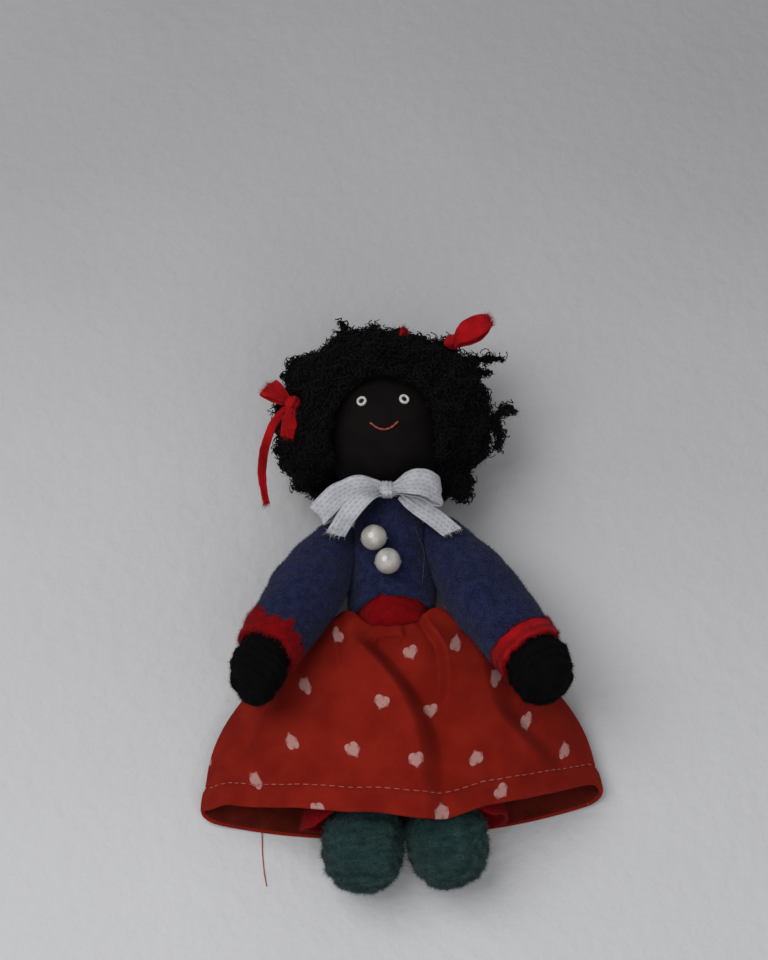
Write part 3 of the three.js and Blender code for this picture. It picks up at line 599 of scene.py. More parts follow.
class Curls(Growth):
    """Small loose spirals of yarn."""

    def __init__(self) -> None:
        """Builds the tree."""
        super().__init__("wool_curls")
        board = self.board
        radius, height, turns, yarn = (self.input(label) for label in ("Radius", "Height", "Turns", "Yarn"))
        points, way = self.scatter()
        tip = board.math("MULTIPLY", radius, 0.6)
        spiral = board.node("GeometryNodeCurveSpiral", {
            "Resolution": 7, "Rotations": turns, "Start Radius": radius, "End Radius": tip, "Height": height})
        section = board.node("GeometryNodeCurvePrimitiveCircle", {"Resolution": 3, "Radius": yarn})
        curl = board.node("GeometryNodeCurveToMesh",
                          {"Curve": spiral, "Profile Curve": section, "Fill Caps": True})
        self.close(self.place(points, curl, way, self.random(0.55, 1.45, 3)))


class Stitches(Growth):
    """Stitches of equal length along a line."""

    def __init__(self) -> None:
        """Builds the tree."""
        super().__init__("running_stitch")
        board = self.board
        spacing, length, thickness = (self.input(label) for label in ("Spacing", "Length", "Thickness"))
        line = board.node("GeometryNodeMeshToCurve", {"Mesh": self.host})
        spaced = board.node("GeometryNodeResampleCurve", {"Curve": line, "Length": spacing}, mode="LENGTH")
        stitch = board.node("GeometryNodeMeshUVSphere", {"Segments": 8, "Rings": 6, "Radius": 1.0})
        tangent = board.node("GeometryNodeInputTangent")
        aimed = board.node("FunctionNodeAlignRotationToVector", {"Vector": tangent}, axis="Z")
        half, radius = (board.math("MULTIPLY", whole, 0.5) for whole in (length, thickness))
        size = board.node("ShaderNodeCombineXYZ", {"X": radius, "Y": radius, "Z": half})
        self.close(board.node("GeometryNodeInstanceOnPoints",
                              {"Points": spaced, "Instance": stitch, "Rotation": aimed, "Scale": size}))


# Finishes


def linear(code: str) -> tuple[float, float, float, float]:
    """Reads a colour as it is seen, such as 8a2a1c, into light."""
    seen = [int(code[i:i + 2], 16) / 255 for i in (0, 2, 4)]
    return (*(c / 12.92 if c <= 0.04045 else ((c + 0.055) / 1.055) ** 2.4 for c in seen), 1.0)


class Paint(Board):
    """The nodes of one material, with places in millimetres."""

    def __init__(self, finish: "Finish", roughness: float, sheen: float = 0.0, specular: float = 0.2) -> None:
        """Starts a material.

        Args:
            finish: Gives its name and its two tones.
            roughness: Of the whole surface.
            sheen: How much light the nap catches at a slant.
            specular: How much light the surface mirrors.
        """
        self.material = bpy.data.materials.new(f"{finish.name}_finish")
        self.material.use_nodes = True
        super().__init__(self.material.node_tree)
        self.tones = linear(finish.colour), linear(finish.second)
        self.shader = self.tree.nodes["Principled BSDF"]
        self.set(Roughness=roughness, Sheen_Weight=sheen, Sheen_Roughness=0.45, Specular_IOR_Level=specular)
        coordinates = self.node("ShaderNodeTexCoord")
        self.place = self.vector("SCALE", coordinates.outputs["Object"], 1 / MM)
        self.cloth = self.vector("SCALE", self.node("ShaderNodeUVMap", uv_map="cloth"), CLOTH_UNIT)

    def set(self, **levels: float) -> None:
        """Sets inputs of the shader, with a line under for each blank in their names."""
        for name, level in levels.items():
            self.shader.inputs[name.replace("_", " ")].default_value = level

    def noise(self, size: float, detail: float = 3.0, stretch: Triple = (1, 1, 1)) -> Value:
        """Adds noise, mostly from 0.3 to 0.7.

        Args:
            size: The size of its features.
            detail: How many finer layers it has.
            stretch: How far the features are stretched along each axis.

        Returns:
            The noise.
        """
        spot = self.vector("DIVIDE", self.place, stretch)
        node = self.node("ShaderNodeTexNoise", {"Vector": spot, "Scale": 1 / size, "Detail": detail})
        return Value(self, node.outputs[0])

    def across_along(self) -> list[Value]:
        """Gives the lengths across and along the cloth, in millimetres."""
        return self.parts(self.cloth)[:2]

    def mix(self, share: Value, first: object, second: object) -> Socket:
        """Mixes two colours by a share of the second."""
        return self.node("ShaderNodeMix", {0: share, 6: first, 7: second}, data_type="RGBA").outputs[2]

    def blend(self, share: Value) -> Socket:
        """Mixes the finish's two tones by a share of the second."""
        return self.mix(share, *self.tones)

    def weave(self, thread: float) -> Value:
        """Adds the height of a plain weave, from about -1 to 1, for a distance between threads."""
        across, along = self.across_along()
        return (across * (TAU / thread)).of("SINE") * (along * (TAU / thread)).of("SINE")

    def done(self, colour: object, height: Value | None = None, depth: float = 0.1) -> Material:
        """Sets the colour and the small heights of the surface.

        Args:
            colour: A colour or its socket.
            height: Heights, where 1 is depth millimetres.
            depth: In millimetres.

        Returns:
            The material.
        """
        self.feed(self.shader.inputs["Base Color"], colour)
        if height is not None:
            bump = self.node("ShaderNodeBump", {"Strength": 1.0, "Distance": depth * MM, "Height": height})
            self.feed(self.shader.inputs["Normal"], bump)
        return self.material


@dataclass(frozen=True)
class Finish:
    """A finish with the name of a slot, made into a material when it is first used."""

    name: str
    slot: str
    colour: str
    second: str

    def material(self) -> Material:
        """Gives the finish's material."""
        return bpy.data.materials.get(f"{self.name}_finish") or self.paint()

    def paint(self) -> Material:
        """Builds the material's nodes."""
        raise NotImplementedError


@dataclass(frozen=True)
class Felt(Finish):
    """Pressed wool with lighter flecks and a soft nap."""

    fleck: float = 0.35
    sheen: float = 0.06

    def paint(self) -> Material:
        """Mottles two tones, strews short light fibres and roughens the surface.

        Returns:
            The material.
        """
        paint = Paint(self, 0.97, self.sheen, 0.08)
        base = paint.blend(paint.noise(1.5).eased(0.36, 0.68) * 0.3)
        first, other = (paint.noise(0.24, 3, way).eased(0.5, 0.72) for way in ((2.2, 1, 1), (1, 2.2, 1)))
        hairs = first.of("MAXIMUM", other)
        colour = paint.mix(hairs * self.fleck, base, paint.tones[1])
        return paint.done(colour, hairs + paint.noise(0.9) * 1.5, 0.07)


@dataclass(frozen=True)
class Fibre(Finish):
    """Loose fibres, each a little lighter or darker."""

    gloss: float = 0.85
    sheen: float = 0.05
    streak: float = 0.35
    stretch: Triple = (1, 1, 1)

    def paint(self) -> Material:
        """Varies the colour from fibre to fibre, or from streak to streak."""
        paint = Paint(self, self.gloss, self.sheen, 0.12)
        return paint.done(paint.blend(paint.noise(self.streak, 2, self.stretch).eased(0.36, 0.66)))


@dataclass(frozen=True)
class Weave(Finish):
    """Plain woven cloth."""

    thread: float = 0.5
    gloss: float = 0.88
    sheen: float = 0.06

    def paint(self) -> Material:
        """Shades the threads of the weave and lets the tone drift.

        Returns:
            The material.
        """
        paint = Paint(self, self.gloss, self.sheen, 0.1)
        threads = paint.weave(self.thread)
        colour = paint.blend(paint.noise(3.5).eased(0.35, 0.68) * 0.7 + threads * 0.12)
        return paint.done(colour, threads + paint.noise(0.6) * 0.8, 0.05)


@dataclass(frozen=True)
class HeartPrint(Finish):
    """Printed cotton: small scattered hearts, each leaning its own way."""

    print_colour: str = "b0857f"
    thread: float = 0.42
    step: Pair = (12.4, 10.6)
    stray: Pair = (4.0, 3.2)
    half: float = 1.2
    lean: float = 36.0

    def paint(self) -> Material:
        """Prints hearts in staggered rows, shifted and turned at random, over a fine weave.

        Returns:
            The material.
        """
        paint = Paint(self, 0.95, 0.0, 0.08)
        across, along = paint.across_along()
        line = along / self.step[1]
        row = line.of("FLOOR")
        shifted = across / self.step[0] + row.of("MODULO", 2.0) * 0.5
        cell = paint.node("ShaderNodeCombineXYZ", {0: shifted.of("FLOOR"), 1: row})
        dice = paint.node("ShaderNodeTexWhiteNoise", {"Vector": cell}, noise_dimensions="2D")
        slide, lift, spin = paint.parts(dice.outputs["Color"])
        x = (shifted.of("FRACT") - 0.5) * self.step[0] + (slide - 0.5) * self.stray[0]
        y = (line.of("FRACT") - 0.5) * -self.step[1] + (lift - 0.5) * self.stray[1]
        turn = (slide * 7.3).of("FRACT").of("ROUND") * math.pi
        angle = (spin - 0.5) * (2 * math.radians(self.lean)) + turn
        sine, cosine = angle.of("SINE"), angle.of("COSINE")
        u = (x * cosine + y * sine) / self.half
        v = (y * cosine - x * sine) / self.half
        ring = u * u + v * v - 1.0
        heart = (ring * ring * ring - u * u * v * v * v).eased(0.1, -0.1)
        threads = paint.weave(self.thread)
        ground = paint.blend(paint.noise(6.0).eased(0.3, 0.7) * 0.5 + threads * 0.14)
        patchy = paint.noise(0.35).eased(0.15, 0.42)
        colour = paint.mix(heart * patchy * 0.88, ground, linear(self.print_colour))
        return paint.done(colour, threads + paint.noise(0.5) * 0.7, 0.05)


@dataclass(frozen=True)
class DashedRibbon(Finish):
    """Thin white ribbon with rows of small grey dashes along it."""

    row: float = 0.87
    dash: float = 1.1
    ink: str = "70707a"

    def paint(self) -> Material:
        """Draws the rows of dashes over a fine ribbed weave.

        Returns:
            The material.
        """
        paint = Paint(self, 0.75, 0.08)
        across, along = paint.across_along()
        line = across / self.row
        near = (line.of("FRACT") - 0.5).of("ABSOLUTE").eased(0.18, 0.06)
        beat = (along / self.dash + line.of("FLOOR") * 0.37).of("FRACT")
        inked = near * (beat - 0.5).of("ABSOLUTE").eased(0.34, 0.28)
        threads = paint.weave(0.34)
        ground = paint.blend(paint.noise(2.4).eased(0.3, 0.7) * 0.6 + threads * 0.2)
        return paint.done(paint.mix(inked * 0.5, ground, linear(self.ink)), threads - inked * 0.6, 0.06)


@dataclass(frozen=True)
class Pearl(Finish):
    """A satin ivory bead."""

    def paint(self) -> Material:
        """Gives the bead a soft coat over a faint swirl.

        Returns:
            The material.
        """
        paint = Paint(self, 0.34, specular=0.5)
        paint.set(Coat_Weight=1.0, Coat_Roughness=0.09)
        return paint.done(paint.blend(paint.noise(2.2, 2, (1, 2, 1)).eased(0.3, 0.7)))


@dataclass(frozen=True)
class Steel(Finish):
    """Bare drawn wire."""

    def paint(self) -> Material:
        """Streaks the wire along its length.

        Returns:
            The material.
        """
        paint = Paint(self, 0.38)
        paint.set(Metallic=1.0)
        streak = paint.noise(0.5, 3, (1, 12, 1))
        return paint.done(paint.blend(streak), streak, 0.01)


@dataclass(frozen=True)
class Painted(Finish):
    """The pale painted floor."""

    def paint(self) -> Material:
        """Paints the floor lighter towards the doll's feet and darker towards its head, as painted light.

        Returns:
            The material.
        """
        paint = Paint(self, 0.7)
        # painted light: the floor's colour grows lighter towards the doll's feet, standing in for the light's
        # fall-off
        painted_light_falloff = paint.parts(paint.place)[1].eased(160, -110) * 0.8
        share = painted_light_falloff + paint.noise(70, 4) * 0.3 + paint.noise(0.8) * 0.12 - 0.14
        return paint.done(paint.blend(share.of("MINIMUM", 1.0)), paint.noise(3.2, 5), 0.4)


NAVY = Felt("navy_felt", "navy_felt", "11152b", "2e345b", fleck=0.62)
NAVY_NAP = Fibre("navy_nap", "navy_felt", "171b35", "3a4069")
RED_FELT = Felt("red_felt", "red_felt", "6c0207", "8a0a10", fleck=0.3, sheen=0.02)
RED_NAP = Fibre("red_nap", "red_felt", "7a0308", "a01016", sheen=0.02)
CUFF_FELT = replace(RED_FELT, slot="red_ribbon")
CUFF_NAP = replace(RED_NAP, slot="red_ribbon")
TEAL = Felt("teal_felt", "teal_felt", "1a2d2e", "2e4c49", fleck=0.5)
TEAL_NAP = Fibre("teal_nap", "teal_felt", "15282a", "45665f", streak=1.3, stretch=(2.6, 1, 1))
PILE = Felt("hand_pile", "brown_pile", "040404", "0b0a0a", fleck=0.4, sheen=0.0)
PILE_NAP = Fibre("hand_nap", "brown_pile", "050404", "110f0e", sheen=0.0)
SKIN = Weave("brown_cloth", "brown_cloth", "0a0707", "100c0b", thread=0.4, sheen=0.0)
LEG_CLOTH = replace(SKIN, slot="wadding")
WOOL_CORE = Felt("wool_core", "wool", "040404", "0a0909", fleck=0.3, sheen=0.0)
WOOL = Fibre("black_wool", "wool", "060505", "141212", sheen=0.0)
COTTON = HeartPrint("heart_cotton", "printed_cotton", "70140c", "8e2314")
# The skirt's wrong side, coloured far darker than its right side: painted shade inside the skirt.
SHADED_WRONG_SIDE = Weave("skirt_wrong_side_painted_shade", "printed_cotton", "300a06", "42110b", thread=0.42, sheen=0.0)
# The turned-up hem inside the skirt, darkened as painted shade under the hem.
SHADED_HEM_BAND = Weave("turned_hem", "printed_cotton", "4c120a", "621a10", thread=0.42, sheen=0.0)
RED_RIBBON = Weave("red_ribbon", "red_ribbon", "880309", "ae0a12", thread=0.4, gloss=0.7, sheen=0.02)
WHITE_RIBBON = DashedRibbon("white_ribbon", "white_ribbon", "aaaab0", "c9c9cd")
IVORY = Pearl("pearl", "pearl", "94908a", "b4b0aa")
WHITE_THREAD = Fibre("white_thread", "white_thread", "a8a5a2", "c9c6c2", gloss=0.6)
RIBBON_THREAD = replace(WHITE_THREAD, slot="white_ribbon")
HEM_THREAD = Fibre("hem_thread", "white_thread", "8f4a3e", "a8665a", gloss=0.8)
CORAL_THREAD = Fibre("coral_thread", "coral_thread", "7d332b", "9a4a3e", gloss=0.6)
DARK_THREAD = Fibre("dark_thread", "brown_cloth", "0e0b0b", "1c1614", gloss=0.5)
LINT = Fibre("lint", "white_thread", "4a4a55", "666672", gloss=0.8)
LOOSE_THREAD = Fibre("loose_thread", "red_ribbon", "8a2a14", "a8442a", gloss=0.6)
WADDING = Felt("wadding", "wadding", "c9c1b2", "ddd6c9", fleck=0.3)
STEEL = Steel("wire_steel", "wire", "7d8084", "a3a6aa")
FLOOR = Painted("floor_paint", "", "9a999a", "c6c6c7")


def dress(obj: Piece, finish: Finish, body: str, *stands_for: str) -> Piece:
    """Gives a piece its finish, its body and the solids that it stands for.

    Args:
        obj: The piece.
        finish: Its finish.
        body: The body that it rides on.
        *stands_for: The solids that it stands for.

    Returns:
        The piece.
    """
    obj.data.materials.clear()
    obj.data.materials.append(finish.material())
    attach(obj, body)
    if stands_for:
        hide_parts(*stands_for)
    log.info("%-28s on %-10s %7d faces", obj.name, body, len(obj.data.polygons))
    return obj


@dataclass
class Tools:
    """The growing trees that all sub-assemblies share."""

    nap: Nap
    curls: Curls
    stitches: Stitches

    def fuzz(self, host: Piece, finish: Finish, body: str, seed: int, *, per_mm2: float, length: float,
             thickness: float = 0.05, lift: float = 1.0, comb: float = 0.0, scatter: float = 1.0,
             bend: float = 0.4, segments: int = 1, name: str = "") -> Piece:
        """Grows a nap on a piece.

        Args:
            host: The piece, with its attributes grow and comb where they matter.
            finish: The fibres' finish.
            body: The body that the nap rides on.
            seed: Fixes what is random.
            per_mm2: Fibres on each square millimetre.
            length: Of a fibre.
            thickness: Of a fibre at its root.
            lift: How much its way follows the surface's normal.
            comb: How much it follows the attribute comb.
            scatter: How much is random.
            bend: How far its tip leans over, as a share of its length.
            segments: Straight stretches in each fibre.
            name: The nap's name, unless it comes from the host's.

        Returns:
            The nap.
        """
        count = len(host.data.vertices)
        for label, plain in (("grow", np.ones(count)), ("comb", np.zeros((count, 3)))):
            if label not in host.data.attributes:
                mark(host, label, plain)
        grown = self.nap.on(host, name or f"{host.name}_nap", finish, seed, Density=per_mm2 / MM**2,
                            Length=length * MM, Thickness=thickness * MM, Lift=lift, Comb=comb,
                            Scatter=scatter, Bend=bend, Segments=segments)
        return dress(grown, finish, body)

    def fray(self, strip: Piece, finish: Finish, body: str, seed: int, *, at: Array, reach: float, way: Array,
             per_mm2: float) -> Piece:
        """Lets threads stand out of a ribbon's cut end.

        Args:
            strip: The ribbon.
            finish: The threads' finish.
            body: The body that the ribbon rides on.
            seed: Fixes what is random.
            at: The end's place.
            reach: How far from there threads grow.
            way: The way that they point.
            per_mm2: Threads on each square millimetre.

        Returns:
            The threads.
        """
        near = smooth(-lengths(points_of(strip) - at), -reach, -reach * 0.5)
        mark(strip, "grow", near)
        mark(strip, "comb", near[:, None] * way)
        return self.fuzz(strip, finish, body, seed, per_mm2=per_mm2, length=1.1, thickness=0.07, lift=0.2,
                         comb=1.0, scatter=0.6, segments=2, name=f"{strip.name}_fray")

    def sew(self, name: str, route: Array, finish: Finish, body: str, *stands_for: str, spacing: float,
            length: float, thickness: float, closed: bool = False) -> Piece:
        """Sews stitches along a route.

        Args:
            name: The stitches' name.
            route: Points to follow.
            finish: The thread's finish.
            body: The body that the stitches ride on.
            *stands_for: The solids that they stand for.
            spacing: From one stitch to the next.
            length: Of a stitch.
            thickness: Of the thread.
            closed: Whether the route closes on itself.

        Returns:
            The stitches.
        """
        count = len(route)
        edges = [(i, (i + 1) % count) for i in range(count if closed else count - 1)]
        mesh = bpy.data.meshes.new(f"{name}_line")
        mesh.from_pydata((route * MM).tolist(), edges, [])
        line = new_object(mesh.name, mesh)
        sewn = self.stitches.on(line, name, finish, 0, Spacing=spacing * MM, Length=length * MM,
                                Thickness=thickness * MM)
        bpy.data.objects.remove(line)
        return dress(sewn, finish, body, *stands_for)


# The doll


def puffed(rows: Array, out: Array) -> Array:
    """Moves each point of rows outwards by its own distance."""
    return rows + row_normals(rows) * out[..., None]


@dataclass(frozen=True)
class BodyOutline:
    """The stuffed body's outline, from which every garment is grown."""

    bottom: float = -12.3
    length: float = 27.0
    height: float = 8.2
    collar_rise: float = 3.6
    widths: Stations = ((0, 8.4), (0.16, 12), (0.46, 12.4), (0.74, 9.6), (0.95, 7), (1, 4.9))
    depths: Stations = ((0, 7.84), (0.16, 11.2), (0.46, 12.6), (0.74, 11.4), (0.95, 9), (1, 6.3))

    @property
    def top(self) -> float:
        """Where the body ends at the neck."""
        return self.bottom + self.length

    def halves(self, y: Array) -> tuple[Array, Array, Array]:
        """Measures the body.

        Args:
            y: Places along it.

        Returns:
            Half the width, half the depth and the middle's height there.
        """
        share = (np.asarray(y, float) - self.bottom) / self.length
        middle = self.height + self.collar_rise * smooth(share, 0.46, 1)
        return between(self.widths, share) / 2, between(self.depths, share) / 2, middle

    def rings(self, y: Array, grow: float, angles: Array) -> Array:
        """Draws rings round the body.

        Args:
            y: Places along the body.
            grow: How far outside the body they lie.
            angles: Angles round it, from the doll's left over its front.

        Returns:
            Rows of points.
        """
        width, depth, z = (part[:, None] for part in self.halves(y))
        x, height = (width + grow) * np.cos(angles), z + (depth + grow) * np.sin(angles)
        return np.stack([x, np.broadcast_to(y[:, None], x.shape), height], -1)

    def front(self, x: float, y: float, grow: float) -> float:
        """Finds the height of the body's front."""
        width, depth, z = self.halves(np.array(y))
        return float(z + (depth + grow) * math.sqrt(1 - (x / (width + grow)) ** 2))

    def clear(self, points: Array, grow: float, pivot: Triple, start: float) -> Array:
        """Pushes points out of the dressed body, except near a limb's pivot.

        Args:
            points: Places.
            grow: How far outside the body they have to stay.
            pivot: The limb's pivot.
            start: Distance from the pivot at which the push starts.

        Returns:
            The points.
        """
        x, y, height = np.moveaxis(points, -1, 0)
        width, depth, z = self.halves(y)
        off = np.stack([x / (width + grow), (height - z) / (depth + grow)], -1)
        inside = np.maximum(lengths(off), 1e-6)
        far = lengths(points - np.array(pivot))
        along = (y > self.bottom) & (y < self.top) & (inside < 1)
        push = np.where(along, (1 / inside - 1) * smooth(far, start, start + 1.5), 0)
        return np.stack([x + x * push, y, height + (height - z) * push], -1)


OUTLINE = BodyOutline()


@dataclass
class Limb:
    """A limb that turns at a joint, drawn along its own -Y from there."""

    tools: Tools
    side: Side
    joint: Triple
    room: float
    first_seed: int

    @property
    def pivot(self) -> Triple:
        """Where the limb turns."""
        return (self.joint[0] * self.side.value, *self.joint[1:])

    @property
    def place(self) -> Matrix:
        """From the limb's own lengths to the doll's."""
        raise NotImplementedError

    @property
    def seed(self) -> int:
        """Makes the two sides differ."""
        return self.first_seed + (0 if self.side is Side.LEFT else 40)

    @property
    def body(self) -> str:
        """The body that the limb's pieces ride on."""
        return self.named(type(self).__name__.lower())

    def named(self, piece: str) -> str:
        """Puts the limb's side before a piece's name."""
        return f"{self.side.word}_{piece}"

    def local(self, obj: Piece) -> Array:
        """Reads a piece's points in the limb's own lengths."""
        return moved(points_of(obj), self.place.inverted())

    def comb(self, obj: Piece, way: Array) -> None:
        """Combs a piece's nap along ways that are given in the limb's own directions."""
        mark(obj, "comb", way @ np.array(self.place)[:3, :3].T)

    def comb_round(self, obj: Piece) -> None:
        """Combs a piece's nap round the limb."""
        self.comb(obj, np.cross((0, 1, 0), unit(self.local(obj) * FLAT)))

    def wound(self, rows: Array, pitch: float, sway: Pair, lumps: Pair, depth: Array, seed: int) -> Array:
        """Winds yarn round the limb's end.

        Args:
            rows: Rings round the limb.
            pitch: From one turn of yarn to the next.
            sway: How much the turns wander, and how often.
            lumps: How lumpy the yarn is, and how often.
            depth: Of the grooves between the turns.
            seed: Fixes what is random.

        Returns:
            The rings, wound.
        """
        wander = sway[0] * ripple(rows, sway[1], seed)
        turns = np.abs(np.sin(math.pi * -rows[..., 1] / pitch + round_angles(LIMB_COLUMNS) / 2 + wander))
        return puffed(rows, depth * (turns - 0.75 + lumps[0] * ripple(rows, lumps[1], seed + 1)))


@dataclass
class Torso:
    """The stuffed body with its shirt, jacket and pearl buttons."""

    tools: Tools
    limbs: Sequence[Limb]
    shirt: Pair = (0.3, 1.1)
    shirt_edges: Pair = (-12.6, 10.0)
    jacket: Pair = (1.4, 2.4)
    jacket_edges: Pair = (-6.2, 13.6)
    jacket_notch: Stations = (
        (-8, 0), (-6, 0.9), (-3.4, 1.5), (-2.2, 2.2), (-1.2, 1.5), (2, 1.4), (5, 0.9), (7.5, 0))
    pearl: float = 5.0
    pearl_hole: float = 1.0
    thread: float = 0.15
    pearls: tuple[tuple[str, float, float], ...] = (("upper", -3.0, 5.2), ("lower", -0.6, 0.3))
    stray: Stations = ((4.9, 8.3), (5.9, 6.2), (6.6, 3.9), (6.3, 0.4), (5.9, -2.8))

    def build(self) -> None:
        """Builds every piece of the torso."""
        self.build_body()
        self.build_shirt()
        self.build_jacket()
        for name, x, y in self.pearls:
            self.build_button(name, x, y)

    def sockets(self, points: Array) -> Array:
        """Keeps points out of the rooms in which the limbs turn.

        Args:
            points: The points.

        Returns:
            The points, moved where they lay in a room.
        """
        for limb in self.limbs:
            points = clear_of_ball(points, limb.pivot, limb.room)
        return points

    def garment(self, name: str, layers: Pair, edges: Pair, ragged: float,
                seed: int, notch: Stations = ((-9, 0), (9, 0))) -> Piece:
        """Makes a felt garment round the body.

        Args:
            name: Its name.
            layers: How far its inner and outer sides are from the body.
            edges: Its lower and upper edge along the body.
            ragged: How uneven its lower edge is.
            seed: Fixes its small bumps.
            notch: How far its lower edge is cut up at places across the front.

        Returns:
            The garment.
        """
        angles = round_angles(132, -math.pi / 2)
        y = np.linspace(*edges, 56)
        low = smooth(-y, -edges[0] - 6, -edges[0])[:, None]
        inside, outside = (OUTLINE.rings(y, grow, angles) for grow in layers)
        for rows, bumps in ((outside, 0.16), (inside, 0.0)):
            cut = between(notch, outside[..., 0]) * smooth(np.sin(angles), 0.2, 0.6)
            rows[..., 1] += low * (ragged * ripple(outside * FLAT, 9, seed) + cut)
            rows[:] = puffed(rows, bumps * ripple(rows, 5.5, seed + 1))
        return skin(name, above(self.sockets(shell(outside, inside)), 0.04), joined=True)

    def build_body(self) -> None:
        """Builds the stuffed body under the clothes."""
        y = np.linspace(OUTLINE.bottom, OUTLINE.top - 0.4, 44)
        rows = OUTLINE.rings(y, 0, round_angles(72))
        rows = puffed(rows, -0.1 - 0.1 * ripple(rows, 4, 3))
        obj = skin("body_stuffing", self.sockets(rows))
        dress(obj, WADDING, "torso", "stuffed_body")

    def build_shirt(self) -> None:
        """Builds the red felt shirt, which shows at the waist."""
        obj = self.garment("shirt_felt", self.shirt, self.shirt_edges, 0.2, 11)
        dress(obj, RED_FELT, "torso", "red_shirt")
        points = points_of(obj)
        mark(obj, "grow", smooth(-points[:, 1], 4.5, 6.5) * smooth(points[:, 2], 7, 11))
        self.tools.fuzz(obj, RED_NAP, "torso", 12, per_mm2=12, length=0.5, scatter=1.4)

    def build_jacket(self) -> None:
        """Builds the navy felt jacket with its nap and a stray fibre."""
        obj = self.garment("jacket_felt", self.jacket, self.jacket_edges, 0.3, 21, self.jacket_notch)
        dress(obj, NAVY, "torso", "jacket")
        mark(obj, "grow", smooth(points_of(obj)[:, 2], 4, 8))
        self.tools.fuzz(obj, NAVY_NAP, "torso", 22, per_mm2=12, length=0.5, scatter=1.8)
        spots = [(x, y, OUTLINE.front(x, y, self.jacket[1]) + 0.25) for x, y in self.stray]
        fibre = dress(tube("stray_fibre", curve_through(spots, 40), 0.06, 6), LINT, "torso")

    def build_button(self, name: str, x: float, y: float) -> None:
        """Builds one pearl and the thread that holds it.

        Args:
            name: Which of the two.
            x: Its place across the jacket.
            y: Its place along the jacket.
        """
        radius, hole = self.pearl / 2, self.pearl_hole / 2
        cloth = OUTLINE.front(x, y, self.jacket[1])
        middle = np.array([x, y, cloth + GAP + radius])
        start = math.degrees(math.asin(hole / radius))
        bead = ball_profile(radius, start, 180 - start, 40)
        bore = [(hole, at) for at in np.linspace(bead[-1][1], bead[0][1], 8)[1:-1]]
        rows = turned([*bead, *bore], 56)[..., [1, 0, 2]] + middle
        rows += (rows - middle) * (0.012 * ripple(rows, 5, 31))[..., None]
        dress(skin(f"{name}_pearl", rows, joined=True), IVORY, "torso", f"{name}_pearl_button")
        ends = [(x + s * (radius - 0.5), y, cloth + 0.1) for s in (-1, 1)]
        sides = [(x + s * (radius - 0.04), y, middle[2] - 0.3) for s in (-1, 1)]
        route = curve_through([ends[0], sides[0], middle, sides[1], ends[1]], 60)
        thread = tube(f"{name}_pearl_thread", route, self.thread)
        dress(thread, WHITE_THREAD, "torso", f"{name}_button_thread")


